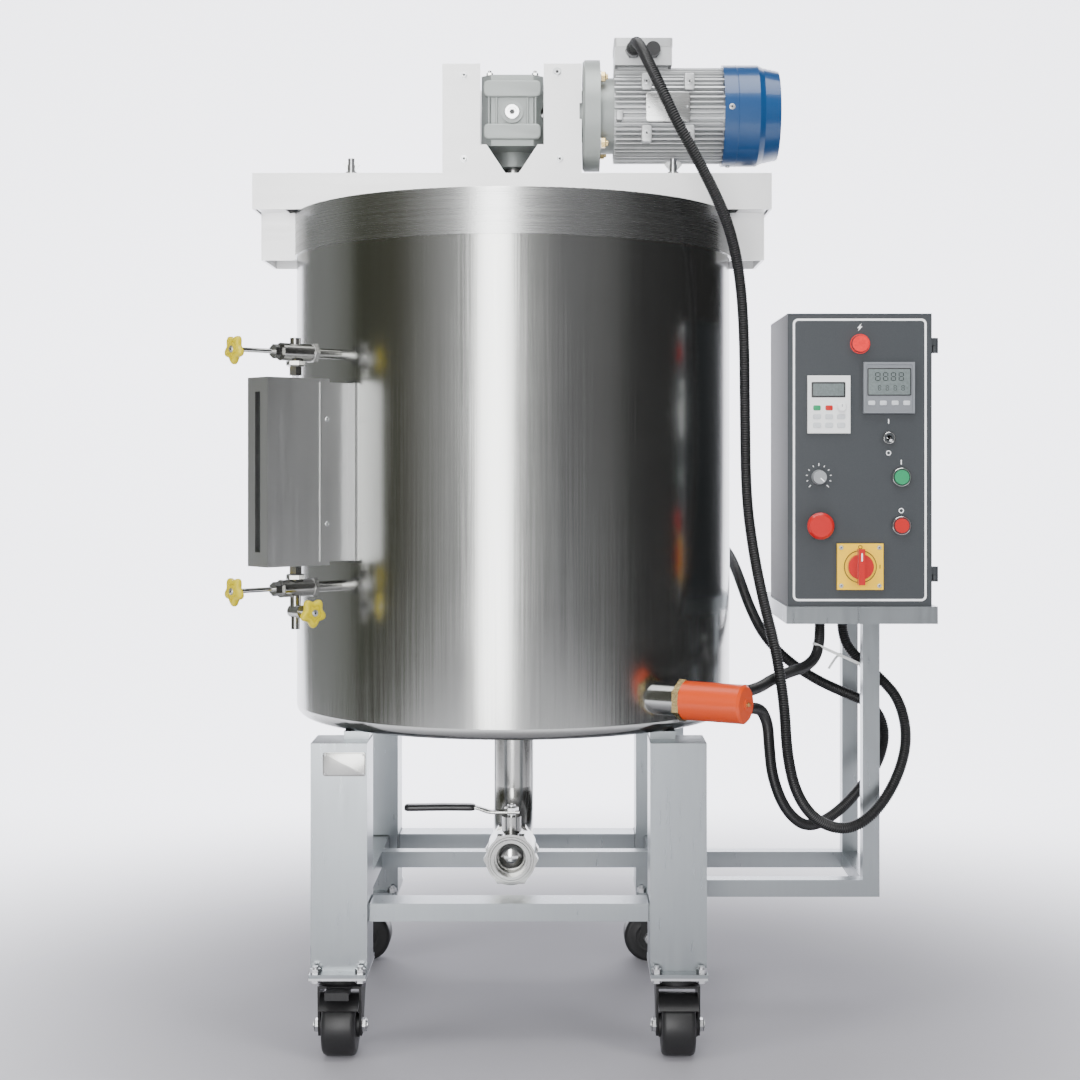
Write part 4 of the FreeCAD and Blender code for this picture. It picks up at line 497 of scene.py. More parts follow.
@dataclass
class Piece:
    """A piece under construction: grids of points joined to one mesh with several materials."""

    name: str
    place: Place
    vertices: list[np.ndarray] = field(default_factory=list)
    faces: list[list[int]] = field(default_factory=list)
    marks: list[int] = field(default_factory=list)
    materials: list[bpy.types.Material] = field(default_factory=list)
    count: int = 0

    def stacked(self, flat: np.ndarray, height: np.ndarray, centre: Point, along: Axis | Point,
                material: bpy.types.Material, ringed: bool = False) -> None:
        """Join flat rings at heights to a skin: point = c + x right + y up + h along.

        Args:
            flat: Rings of flat points, or one ring for all heights.
            height: Height of each ring.
            centre: Where height 0 is.
            along: Direction of the heights.
            material: The skin's material.
            ringed: Join the last ring to the first.
        """
        right, up, third = sides_of(along)
        self.loft(np.asarray(centre, float) + flat[..., :1] * right + flat[..., 1:] * up
                  + height[:, None, None] * third, material, ringed=ringed)

    def loft(self, rings: Rings, material: bpy.types.Material, caps: bool = True,
             ringed: bool = False) -> None:
        """Join rings of points to a skin: quads (i, j), (i, j+1), (i+1, j+1), (i+1, j).

        Args:
            rings: Points by ring, place in the ring and coordinate, in millimetres.
            material: The skin's material.
            caps: Close both ends with a flat face.
            ringed: Join the last ring to the first.
        """
        count, around = rings.shape[:2]
        grid = np.arange(count * around).reshape(count, around) + self.count
        if ringed:
            grid = np.vstack([grid, grid[:1]])
        beside = np.roll(grid, -1, axis=1)
        quads = np.stack([grid[:-1], beside[:-1], beside[1:], grid[1:]], axis=-1).reshape(-1, 4)
        self.faces += quads.tolist()
        added = len(quads)
        if caps and not ringed:
            self.faces += [grid[0][::-1].tolist(), grid[-1].tolist()]
            added += 2
        if material not in self.materials:
            self.materials.append(material)
        self.marks += [self.materials.index(material)] * added
        self.vertices.append(rings.reshape(-1, 3))
        self.count += count * around

    def drawn(self, outline: np.ndarray, levels: list[tuple[float, float]], centre: Point,
              along: Axis | Point, material: bpy.types.Material, spin: float = 0.0) -> None:
        """Carry an outline along a direction: point = c + s (x right + y up) + h along.

        Args:
            outline: Flat outline, counterclockwise.
            levels: Pairs of height and inset; the outline is scaled down by the inset's share.
            centre: Where height 0 is.
            along: Direction of the heights.
            material: The skin's material.
            spin: Degrees that the outline is turned about the direction.
        """
        turn = math.radians(spin)
        reach = np.abs(outline).max(axis=0)
        height, inset = np.asarray(levels, float).T
        share = 1 - inset[:, None] / reach[None, :]
        scaled = outline[None, :, :] * share[:, None, :]
        spun = scaled @ np.array([[math.cos(turn), math.sin(turn)],
                                  [-math.sin(turn), math.cos(turn)]])
        self.stacked(spun, height, centre, along, material)

    def pad(self, outline: np.ndarray, thick: float, centre: Point, along: Axis | Point,
            material: bpy.types.Material, soft: float = 0.8, spin: float = 0.0) -> None:
        """Plate with an eased outer edge: an outline with its last step inset.

        Args:
            outline: Flat outline.
            thick: Thickness, from the centre along the direction.
            centre: Middle of the back face.
            along: Direction that the front faces.
            material: The plate's material.
            soft: Size of the eased edge.
            spin: Degrees that the outline is turned.
        """
        soft = min(soft, thick * 0.6)
        bend = np.linspace(0, math.pi / 2, 4)
        levels = [(0.0, 0.0)] + [(thick - soft + soft * math.sin(a), soft * (1 - math.cos(a)))
                                 for a in bend]
        self.drawn(outline, levels, centre, along, material, spin)

    def turned(self, profile: list[tuple[float, float]], centre: Point, along: Axis | Point,
               material: bpy.types.Material, sides: int = 32, ringed: bool = False) -> None:
        """Turn a profile about a direction: point = c + r (cos u right + sin u up) + h along.

        Args:
            profile: Pairs of radius and height.
            centre: Where height 0 is.
            along: The axis.
            material: The skin's material.
            sides: Points to a ring.
            ringed: Join the profile's end to its start, for a ring with a hole.
        """
        right, up, third = sides_of(along)
        radius, height = np.asarray(profile, float).T
        flat = circle(1.0, sides)
        rim = flat[:, :1] * right + flat[:, 1:] * up
        self.loft(np.asarray(centre, float) + radius[:, None, None] * rim[None]
                  + height[:, None, None] * third, material, ringed=ringed)

    def ring(self, major: float, minor: float, centre: Point, along: Axis | Point,
             material: bpy.types.Material, flat: float = 1.0, sides: int = 48) -> None:
        """Ring of round or flattened section: r = R + m cos v, h = k m sin v.

        Args:
            major: Radius of the ring.
            minor: Half its section's width.
            centre: Its middle.
            along: Its axis.
            material: Its material.
            flat: Height of the section as a share of its width.
            sides: Points round the ring.
        """
        turn = np.linspace(0, 2 * math.pi, 10, endpoint=False)
        profile = list(zip(major + minor * np.cos(turn), flat * minor * np.sin(turn)))
        self.turned(profile, centre, along, material, sides, ringed=True)

    def ringed_plate(self, outer: np.ndarray, inner: np.ndarray, thick: float, centre: Point,
                     along: Axis | Point, material: bpy.types.Material) -> None:
        """Flat ring between two outlines of as many points, such as a frame or a border line.

        Args:
            outer: Outer outline.
            inner: Inner outline.
            thick: Thickness, from the centre along the direction.
            centre: Middle of the back face.
            along: Direction that the front faces.
            material: The ring's material.
        """
        self.stacked(np.stack([outer, outer, inner, inner]), np.array([0.0, thick, thick, 0.0]),
                     centre, along, material, ringed=True)

    def screw(self, centre: Point, along: Axis | Point, radius: float, head: float,
              material: bpy.types.Material, dark: bpy.types.Material) -> None:
        """Cap screw: a domed head on a washer, with a socket in its top whose floor is painted
        dark as shade.

        Args:
            centre: Middle of the washer's back.
            along: Direction that the head points.
            radius: Radius of the head.
            head: Height of the head.
            material: Material of head and washer.
            dark: Material of the socket's floor, painted shade in the recess.
        """
        washer = 0.25 * head
        self.turned([(1.35 * radius, 0), (1.35 * radius, washer), (radius, washer),
                     (radius, washer + 0.8 * head), (0.86 * radius, washer + head),
                     (0.5 * radius, washer + head), (0.48 * radius, washer + 0.5 * head)],
                    centre, along, material, 24)
        # Dark hexagon on the socket's floor: painted shade in the recess.
        floor = np.asarray(centre, float) + sides_of(along)[2] * (washer + 0.5 * head)
        self.drawn(circle(0.46 * radius, 6), [(0.0, 0.0), (0.05, 0.0)], floor, along, dark)

    def nut(self, centre: Point, along: Axis | Point, across: float, tall: float,
            material: bpy.types.Material, stud: float = 0.0) -> None:
        """Hexagon nut with chamfered corners and a stud through it.

        Args:
            centre: Middle of the nut's back.
            along: Direction that the nut faces.
            across: Width across the corners.
            tall: Height of the nut.
            material: Its material.
            stud: How far the stud stands out of the nut.
        """
        ease = 0.08 * across
        self.drawn(circle(across / 2, 6), [(0, 0), (tall - ease, 0), (tall, ease)], centre,
                   along, material)
        if stud > 0:
            core = 0.27 * across
            self.turned([(core, 0.1), (core, tall + stud - 0.5), (core * 0.8, tall + stud)],
                        centre, along, material, 20)

    def carried(self, path: np.ndarray, outline: np.ndarray, material: bpy.types.Material,
                share: np.ndarray | None = None, up: Point = (0.0, 0.0, 1.0)) -> None:
        """Carry an outline along a path: point = p(s) + k(s) (x side(s) + y above(s)).

        Args:
            path: Points of the path, in millimetres.
            outline: Flat outline.
            material: The skin's material.
            share: Scale of the outline at each point, 1 where left out.
            up: Direction that the first point's frame leans to.
        """
        ahead = unit(np.gradient(path, axis=0))
        above = frames_above(ahead, up)
        beside = np.cross(above, ahead)
        scale = np.ones(len(path)) if share is None else share
        rows = outline[None] * scale[:, None, None]
        self.loft(path[:, None, :] + rows[..., :1] * beside[:, None] + rows[..., 1:]
                  * above[:, None], material)

    def done(self, body: str, smooth: float = 35.0) -> bpy.types.Object:
        """Make the object, in metres in the frame, and let it ride on its body.

        Args:
            body: The body it moves with.
            smooth: Degrees up to which an edge is shaded smooth.

        Returns:
            The object.
        """
        mesh = bpy.data.meshes.new(self.name)
        mesh.from_pydata(self.place.points(np.vstack(self.vertices)).tolist(), [], self.faces)
        for material in self.materials:
            mesh.materials.append(material)
        mesh.polygons.foreach_set("material_index", self.marks)
        mesh.update()
        mesh.shade_smooth()
        mesh.set_sharp_from_angle(angle=math.radians(smooth))
        made = bpy.data.objects.new(self.name, mesh)
        bpy.context.scene.collection.objects.link(made)
        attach(made, body)
        LOG.info("%s: %d faces on %s", self.name, len(self.faces), body)
        return made


def frames_above(ahead: np.ndarray, up: Point) -> np.ndarray:
    """Carry a normal along a path's directions: n = unit(n - (n.t) t), so it doesn't twist.

    Args:
        ahead: Unit directions along the path.
        up: What the first normal leans to.

    Returns:
        A unit normal at each point.
    """
    def carry(normal: np.ndarray, direction: np.ndarray) -> np.ndarray:
        """The normal made square to the next direction."""
        return unit(normal - normal.dot(direction) * direction)

    first = np.asarray(up, float)
    if abs(first.dot(ahead[0])) > 0.9:
        first = np.array([1.0, 0.0, 0.0])
    return np.array(list(accumulate(ahead[1:], carry, initial=carry(first, ahead[0]))))


@dataclass(frozen=True)
class Paper:
    """Pale backdrop with a little light of its own and a painted shadow under the object.

    Attributes:
        name: Material name.
        colour: Colour of the paper.
        under: Colour of the painted shadow on the paper under the object.
        inner: Distance from the frame's origin, in metres, up to which the painted shadow is full.
        outer: Distance from which the painted shadow has faded out and the paper is palest.
        glow_in_painted_shadow: Weaker light of its own in the painted shadow under the object.
        glow_near: Light of its own in front.
        glow_far: Light of its own in the background.
        near: Where the glow starts to grow, in metres along Y.
        far: Where it is full.
        strength: Emission strength.
    """

    name: str
    colour: Colour = (0.86, 0.86, 0.90)
    under: Colour = (0.27, 0.265, 0.285)
    inner: float = 0.5
    outer: float = 2.1
    glow_in_painted_shadow: Colour = (0.015, 0.015, 0.017)
    glow_near: Colour = (0.10, 0.10, 0.105)
    glow_far: Colour = (0.90, 0.90, 0.97)
    near: float = -1.2
    far: float = 2.6
    strength: float = 3.2

    def material(self) -> bpy.types.Material:
        """Build the material: matt, with faint clouds, its light weaker low in the sweep, and a
        painted shadow round the frame's origin in both colour and glow.
        """
        shader = Shader(self.name)
        cloud = shader.noise(shader.place(), 0.6, 2.0)
        dark = tuple(channel * 0.97 for channel in self.colour)
        # Painted shadow under the object: pale runs from 0 near the frame's origin to 1 far from
        # it.
        reach = shader.node("ShaderNodeVectorMath", {"operation": "LENGTH"},
                            {0: shader.place()}, output="Value")
        pale = shader.node("ShaderNodeMapRange", {"interpolation_type": "SMOOTHSTEP"},
                           {"Value": reach, "From Min": self.inner, "From Max": self.outer})
        paper = shader.blend(pale, self.under, shader.blend(cloud, dark, self.colour))
        depth = shader.node("ShaderNodeSeparateXYZ", inputs={0: shader.place()}, output="Y")
        share = shader.node("ShaderNodeMapRange", {"interpolation_type": "SMOOTHSTEP"},
                            {"Value": depth, "From Min": self.near, "From Max": self.far})
        shader.set(Base_Color=paper, Roughness=0.8,
                   Emission_Color=shader.blend(
                       pale, self.glow_in_painted_shadow,
                       shader.blend(share, self.glow_near, self.glow_far)),
                   Emission_Strength=self.strength)
        return shader.material


Finish = BrushedSteel | PlainMetal | Coated | Clear | Glowing | Paper
SHELL = BrushedSteel("shell_steel", (0.50, 0.505, 0.49), 0.2, (420.0, 420.0, 3.0), 0.16, 0.8)
BAND = BrushedSteel("band_steel", (0.56, 0.565, 0.56), 0.27, (5.0, 5.0, 900.0), 0.16, 0.86)
STAINLESS = BrushedSteel("plain_steel", (0.66, 0.66, 0.65), 0.28, (60.0, 500.0, 60.0), 0.14)
BEAM = BrushedSteel("beam_steel", (0.96, 0.96, 0.96), 0.5, (5.0, 420.0, 420.0), 0.12, 0.96)
FRAME = BrushedSteel("frame_steel", (0.36, 0.385, 0.40), 0.3, (150.0, 150.0, 12.0), 0.18, 0.8)
COVER = BrushedSteel("cover_steel", (0.60, 0.605, 0.60), 0.42, (300.0, 300.0, 4.0), 0.14, 0.85)
POLISHED = PlainMetal("polished_steel", (0.78, 0.78, 0.77), 0.14, 1.0, 0.01)
SATIN = PlainMetal("satin_steel", (0.42, 0.42, 0.405), 0.21, 1.0, 0.003, 60.0)
ZINC = PlainMetal("zinc_plate", (0.74, 0.75, 0.76), 0.3, 1.0, 0.02, 300.0)
BRASS = PlainMetal("brass", (0.72, 0.55, 0.26), 0.27)
BRONZE = PlainMetal("bronze", (0.58, 0.38, 0.18), 0.35)
ROTOR = PlainMetal("rotor_steel", (0.55, 0.56, 0.57), 0.35)
CASTING = PlainMetal("grey_casting", (0.34, 0.365, 0.355), 0.46, 0.35, 0.12, 420.0)
MOTOR = PlainMetal("motor_alloy", (0.55, 0.56, 0.565), 0.4, 0.55, 0.06, 260.0)
COWL = Coated("cowl_blue", (0.002, 0.038, 0.125), 0.3, 0.35, 0.015, 340.0)
CABINET = Coated("cabinet_texture", (0.015, 0.018, 0.021), 0.52, 0.0, 0.06, 1300.0, 0.35)
BLACK = Coated("black_plastic", (0.012, 0.012, 0.013), 0.38, 0.1)
CONDUIT = Coated("conduit_black", (0.0045, 0.0045, 0.005), 0.4, 0.05, 0.01, 900.0)
TYRE = Coated("wheel_black", (0.004, 0.004, 0.0045), 0.42, 0.0, 0.03, 600.0, 0.3)
FORK = Coated("fork_black", (0.0035, 0.0035, 0.004), 0.45, 0.0, 0.02, 500.0, 0.3)
ORANGE = Coated("cap_orange", (0.52, 0.045, 0.0), 0.36, 0.2)
YELLOW = Coated("wheel_yellow", (0.46, 0.37, 0.0), 0.42, 0.0)
PLATE = Coated("plate_yellow", (0.80, 0.48, 0.0), 0.34, 0.2)
RED = Coated("switch_red", (0.40, 0.004, 0.004), 0.3, 0.3)
GREEN = Coated("button_green", (0.006, 0.22, 0.085), 0.3, 0.3)
KEYPAD = Coated("keypad_white", (0.70, 0.71, 0.71), 0.42, 0.05, 0.01)
CONTROL = Coated("control_grey", (0.15, 0.16, 0.175), 0.4, 0.05, 0.02)
KNOB = Coated("knob_grey", (0.22, 0.23, 0.24), 0.4)
KEY = Coated("key_grey", (0.46, 0.48, 0.50), 0.45)
MARK = Coated("mark_white", (0.82, 0.83, 0.84), 0.5, 0.0, 0.005)
SCRAPER = Coated("scraper_white", (0.80, 0.79, 0.75), 0.45)
TIE = Coated("tie_white", (0.80, 0.81, 0.80), 0.4)
GLASS = Clear("gauge_glass")
SCREEN = Glowing("screen_grey", (0.16, 0.19, 0.19), 0.04)
DIGIT = Glowing("digit_dark", (0.035, 0.042, 0.042), 0.0)
LAMP = Glowing("lamp_red", (0.75, 0.02, 0.02), 0.35)

SLOT_FINISH = {
    "stainless": STAINLESS, "bright_stainless": SHELL, "beam_steel": BEAM,
    "frame_steel": FRAME, "gear_paint": CASTING, "motor_paint": MOTOR, "cowl_blue": COWL,
    "black_plastic": BLACK, "zinc": ZINC, "rotor_steel": ROTOR, "bronze": BRONZE,
    "scraper": SCRAPER, "cap_orange": ORANGE, "brass": BRASS, "glass": GLASS,
    "wheel_yellow": YELLOW, "cabinet_paint": CABINET, "keypad_white": KEYPAD,
    "control_grey": CONTROL, "lamp_red": LAMP, "button_green": GREEN, "button_red": RED,
    "plate_yellow": PLATE, "knob_grey": KNOB, "tyre_black": TYRE, "fork_black": FORK,
    "conduit_grey": CONDUIT, "valve_steel": POLISHED,
}
NODE_FINISH = {
    "rim_band": BAND, "gauge_cover": COVER, "drain_pipe": SATIN, "valve_lever": BLACK,
    "gearbox_cover": BEAM, "speed_drive": CONTROL, "valve_body": SATIN, "gauge_cocks": SATIN,
    "motor_flange": CASTING,
}


@dataclass
class Palette:
    """Materials, each made once from its finish."""

    made: dict[str, bpy.types.Material] = field(default_factory=dict)

    def take(self, finish: Finish) -> bpy.types.Material:
        """Hand out the finish's material, made on first use."""
        if finish.name not in self.made:
            self.made[finish.name] = finish.material()
        return self.made[finish.name]

    def dress(self, frame: dict) -> None:
        """Give every node of the frame the material of its slot, or its own.
        """
        for part in frame["record"]["subparts"]:
            name = part["node"]
            finish = NODE_FINISH.get(name, SLOT_FINISH[part["material_slot"]])
            for slot in frame["nodes"][name].material_slots:
                slot.material = self.take(finish)
            LOG.info("%s: %s", name, finish.name)


@dataclass
class Builder:
    """Shared start of the detail classes: where the axis is and which materials there are."""

    place: Place
    palette: Palette

    def piece(self, name: str) -> Piece:
        """Start a piece."""
        return Piece(name, self.place)

    def take(self, finish: Finish) -> bpy.types.Material:
        """Hand out a finish's material."""
        return self.palette.take(finish)


@dataclass
class Conduit(Builder):
    """Corrugated conduit that hangs between two glands.

    Attributes:
        name: Name of the piece.
        node: Conduit of the frame that it stands for.
        route: Points that steer its line, in millimetres.
        length: Real length in metres; not used.
        radius: Outer radius.
        pitch: Distance from rib to rib.
        groove: Depth between the ribs.
    """

    name: str = ""
    node: str = ""
    route: tuple[Point, ...] = ()
    length: float = 1.0
    radius: float = 10.0
    pitch: float = 4.2
    groove: float = 1.5

    def line(self) -> np.ndarray:
        """Read points from the smooth spline that the route steers.

        Returns:
            Points along it, in metres in the frame.
        """
        points = self.place.points(list(self.route))
        curve = bpy.data.curves.new(self.name + "_line", "CURVE")
        curve.dimensions = "3D"
        curve.resolution_u = 32
        spline = curve.splines.new("NURBS")
        spline.points.add(len(points) - 1)
        spline.points.foreach_set("co", np.column_stack([points, np.ones(len(points))]).ravel())
        spline.order_u = 3
        spline.use_endpoint_u = True
        holder = bpy.data.objects.new(self.name + "_line", curve)
        mesh = bpy.data.meshes.new_from_object(holder)
        read = np.empty(len(mesh.vertices) * 3)
        mesh.vertices.foreach_get("co", read)
        bpy.data.objects.remove(holder)
        bpy.data.curves.remove(curve)
        bpy.data.meshes.remove(mesh)
        return read.reshape(-1, 3)

    def build(self) -> np.ndarray:
        """Carry a circle along the line, its radius r - g (1 + cos(2 pi s / pitch)) / 2.

        Returns:
            The line's points in millimetres from the tank's axis.
        """
        metres = self.line()
        rows = metres / MM - np.array([self.place.x, self.place.y, 0.0]) / MM
        steps = np.linalg.norm(np.diff(rows, axis=0), axis=1)
        rows = rows[np.concatenate([[True], steps > 1e-6])]
        run = np.concatenate([[0], np.cumsum(np.linalg.norm(np.diff(rows, axis=0), axis=1))])
        count = int(run[-1] / self.pitch) * 5
        along = np.linspace(0, run[-1], count + 1)
        path = np.column_stack([np.interp(along, run, rows[:, axis]) for axis in range(3)])
        wave = (1 + np.cos(2 * math.pi * np.arange(count + 1) / 5)) / 2
        share = 1 - self.groove / self.radius * wave ** 1.5
        hose = self.piece(self.name)
        hose.carried(path, circle(self.radius - 0.05, 16), self.take(CONDUIT), share)
        made = hose.done(ROOT, 60.0)
        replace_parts(made, self.node)
        2 * self.radius * MM
        return rows


MOTOR_ROUTE: tuple[Point, ...] = (
    (217, -149, 1739), (217, -204, 1739), (222.6, -256.6, 1720.7), (235.4, -298.3, 1682.4),
    (257, -320.8, 1631), (284, -322, 1572), (316, -308, 1520), (349, -283, 1463),
    (377, -254, 1409), (397, -228, 1337), (407, -213, 1241), (409.4, -206, 1093),
    (411, -207, 944.6), (422.2, -217, 849), (436.4, -245, 764), (456, -269, 680),
    (470, -273, 587), (475.7, -262, 499), (494, -243, 427), (534, -217, 374), (591, -198, 356),
    (642, -186, 385), (684.5, -165, 443), (707.5, -138, 509), (698, -112, 574), (668, -90, 610),
    (634, -78, 640), (608, -72, 668), (600, -70, 700), (600, -70, 728))
HEATER_ROUTE: tuple[Point, ...] = (
    (397.2436, -339.4308, 618), (424.7436, -291.7994, 618), (450, -246, 626), (484, -206, 634),
    (520, -160, 638), (546, -115, 650), (557, -86, 676), (560, -70, 704), (560, -70, 728))
PROBE_ROUTE: tuple[Point, ...] = (
    (150.523, 413.559, 900), (168.992, 464.302, 900), (205, 508, 896), (256, 532, 890),
    (311, 524, 880), (356, 488, 869), (389, 435, 856), (412, 340, 838), (422, 250, 823),
    (425, 168, 806), (430, 100, 781), (443, 38, 730), (466, -2, 678), (508, -16, 634),
    (562, -8, 598), (618, 4, 572), (672, 15, 550), (697, 18, 502), (683, 4, 447),
    (643, -24, 400), (590, -68, 360), (532, -118, 343), (486, -166, 383), (457, -206, 450),
    (448, -236, 512), (443, -258, 556), (423.7436, -293.5314, 588), (397.2436, -339.4308, 588))


@dataclass
class Studio(Builder):
    """Camera, lights and the pale floor with its curved backdrop."""

    eye: Point = (86.0, -3333.0, 997.0)
    lens: float = 59.63
    shift: tuple[float, float] = (-0.0185, -0.0694)
    floor_front: float = -6500.0
    floor_back: float = 1900.0
    left_wide: float = 2700.0
    sweep: float = 1400.0
    wall_top: float = 5200.0
    right_wide: float = 2500.0
    room_strength: float = 0.85
    room: tuple[tuple[float, Colour], ...] = (
        (-174.0, (0.095, 0.1, 0.07)),
        (-148.0, (0.12, 0.12, 0.09)),
        (-136.0, (0.34, 0.34, 0.32)),
        (-120.0, (0.6, 0.6, 0.6)),
        (-78.0, (0.6, 0.6, 0.6)),
        (-66.0, (0.3, 0.3, 0.31)),
        (-38.0, (0.22, 0.22, 0.22)),
        (-24.0, (0.07, 0.07, 0.07)),
        (60.0, (0.03, 0.03, 0.03)),
        (86.0, (0.2, 0.2, 0.2)),
        (91.0, (0.3, 0.31, 0.3)),
        (160.0, (0.42, 0.43, 0.42)),
        (176.0, (0.3, 0.31, 0.28)))

    def camera(self) -> None:
        """Level camera that looks along +Y, its axis off the picture's middle."""
        data = bpy.data.cameras.new("camera")
        data.lens = self.lens
        data.sensor_width = 36.0
        data.shift_x, data.shift_y = self.shift
        data.dof.use_dof = False
        camera = bpy.data.objects.new("camera", data)
        camera.location = self.place.points([self.eye])[0]
        camera.rotation_euler = (math.pi / 2, 0.0, 0.0)
        bpy.context.scene.collection.objects.link(camera)
        bpy.context.scene.camera = camera

    def light(self, name: str, spot: Point, aim: Point, size: tuple[float, float], watts: float,
              seen: bool = True) -> None:
        """Hang a soft rectangular light.

        Args:
            name: Its name.
            spot: Where it hangs, in metres in the frame.
            aim: What it looks at, in metres.
            size: Width and height in metres.
            watts: Its power.
            seen: Whether shiny surfaces mirror it.
        """
        data = bpy.data.lights.new(name, "AREA")
        data.shape = "RECTANGLE"
        data.size, data.size_y = size
        data.energy = watts
        lamp = bpy.data.objects.new(name, data)
        lamp.location = spot
        lamp.rotation_euler = (Vector(aim) - Vector(spot)).to_track_quat("-Z", "Y").to_euler()
        lamp.visible_glossy = seen
        bpy.context.scene.collection.objects.link(lamp)

    def lights(self) -> None:
        """Tall softbox in front, one on each side and one above."""
        middle = (0.0, 0.0, 0.95)
        self.light("front_box", (-0.62, -3.6, 1.3), middle, (1.0, 2.8), 90.0)
        self.light("left_box", (-3.0, -2.2, 1.9), middle, (1.4, 2.2), 75.0, False)
        self.light("right_box", (2.6, -2.8, 1.8), middle, (1.2, 2.0), 75.0, False)
        self.light("top_box", (0.1, -0.9, 3.4), middle, (2.4, 1.8), 90.0)

    def world(self) -> None:
        """Surroundings that change with the angle atan2(y, x), as upright stripes on steel."""
        world = bpy.data.worlds.new("surroundings")
        world.use_nodes = True
        bpy.context.scene.world = world
        tree = world.node_tree
        place = tree.nodes.new("ShaderNodeTexCoord")
        parts = tree.nodes.new("ShaderNodeSeparateXYZ")
        angle = tree.nodes.new("ShaderNodeMath")
        angle.operation = "ARCTAN2"
        share = tree.nodes.new("ShaderNodeMapRange")
        share.inputs["From Min"].default_value = -math.pi
        share.inputs["From Max"].default_value = math.pi
        ramp = tree.nodes.new("ShaderNodeValToRGB")
        while len(ramp.color_ramp.elements) < len(self.room):
            ramp.color_ramp.elements.new(0.5)
        for element, (degrees, colour) in zip(ramp.color_ramp.elements, self.room):
            element.position = degrees / 360 + 0.5
            element.color = (*colour, 1.0)
        tree.links.new(place.outputs["Generated"], parts.inputs[0])
        tree.links.new(parts.outputs["Y"], angle.inputs[0])
        tree.links.new(parts.outputs["X"], angle.inputs[1])
        tree.links.new(angle.outputs[0], share.inputs["Value"])
        tree.links.new(share.outputs[0], ramp.inputs["Fac"])
        tree.links.new(ramp.outputs["Color"], tree.nodes["Background"].inputs["Color"])
        tree.nodes["Background"].inputs["Strength"].default_value = self.room_strength

    def backdrop(self) -> None:
        """Floor that sweeps up into a wall: a quarter circle between two straights."""
        turn = np.linspace(0, math.pi / 2, 24)
        depth = np.concatenate([[self.floor_front], self.floor_back + self.sweep * np.sin(turn),
                                [self.floor_back + self.sweep]])
        height = np.concatenate([[0.0], self.sweep * (1 - np.cos(turn)), [self.wall_top]])
        sides = np.array([-self.left_wide, self.right_wide])
        grid = np.stack([np.broadcast_to(sides[:, None], (2, len(depth))),
                         np.broadcast_to(depth, (2, len(depth))),
                         np.broadcast_to(height, (2, len(depth)))], axis=-1)
        rows = self.place.points(grid)
        count = len(depth)
        first = np.arange(count - 1)
        faces = np.column_stack([first, first + count, first + count + 1, first + 1])
        mesh = bpy.data.meshes.new("backdrop")
        mesh.from_pydata(rows.tolist(), [], faces.tolist())
        mesh.shade_smooth()
        mesh.materials.append(self.take(Paper("backdrop_paper")))
        made = bpy.data.objects.new("backdrop", mesh)
        bpy.context.scene.collection.objects.link(made)

    def build(self) -> None:
        """Set up camera, world, lights and backdrop."""
        self.camera()
        self.world()
        self.lights()
        self.backdrop()


@dataclass
class CableTie(Builder):
    """White tie that holds the motor's and the heater's hoses together."""

    height: float = 628.0
    band_wide: float = 5.0
    band_thick: float = 1.3
    hose_radius: float = 10.3
    tail: float = 38.0

    def build(self, motor: np.ndarray, heater: np.ndarray) -> None:
        """Stretch a band round both lines where they pass: two half circles and two straights.

        Args:
            motor: Points of the motor's hose.
            heater: Points of the heater's hose.
        """
        low = motor[np.abs(motor[:, 2] - self.height).argmin()]
        near = heater[np.linalg.norm(heater - low, axis=1).argmin()]
        across = near - low
        gap = float(np.linalg.norm(across))
        beside = unit(across)
        normal = unit(np.array([0.0, 0.0, 1.0]) - beside[2] * beside)
        depth = np.cross(normal, beside)
        reach = self.hose_radius + self.band_thick / 2
        turn = np.linspace(-math.pi / 2, math.pi / 2, 14)
        arc = reach * np.column_stack([np.cos(turn), np.sin(turn)])
        flat = np.vstack([arc + [gap, 0.0], -arc, arc[:1] + [gap, 0.0]])
        path = low + flat[:, :1] * beside + flat[:, 1:] * depth
        tie = self.piece("cable_tie")
        tie.carried(path, rounded(self.band_thick, self.band_wide, 0.4, 2),
                    self.take(TIE), up=normal)
        head = low + beside * gap * 0.55 - depth * (reach + 2.2)
        tie.pad(rounded(8.0, 6.5, 1.2), 5.0, head + depth * 2.0, -depth,
                self.take(TIE))
        fall = np.linspace(0, 1, 12)[:, None]
        drop = head - depth * (self.tail * 0.75 * fall) - normal * (self.tail * 0.8 * fall ** 2)
        tie.carried(drop, rounded(self.band_wide * 0.9, self.band_thick, 0.4, 2),
                    self.take(TIE), up=normal)
        tie.done(ROOT)


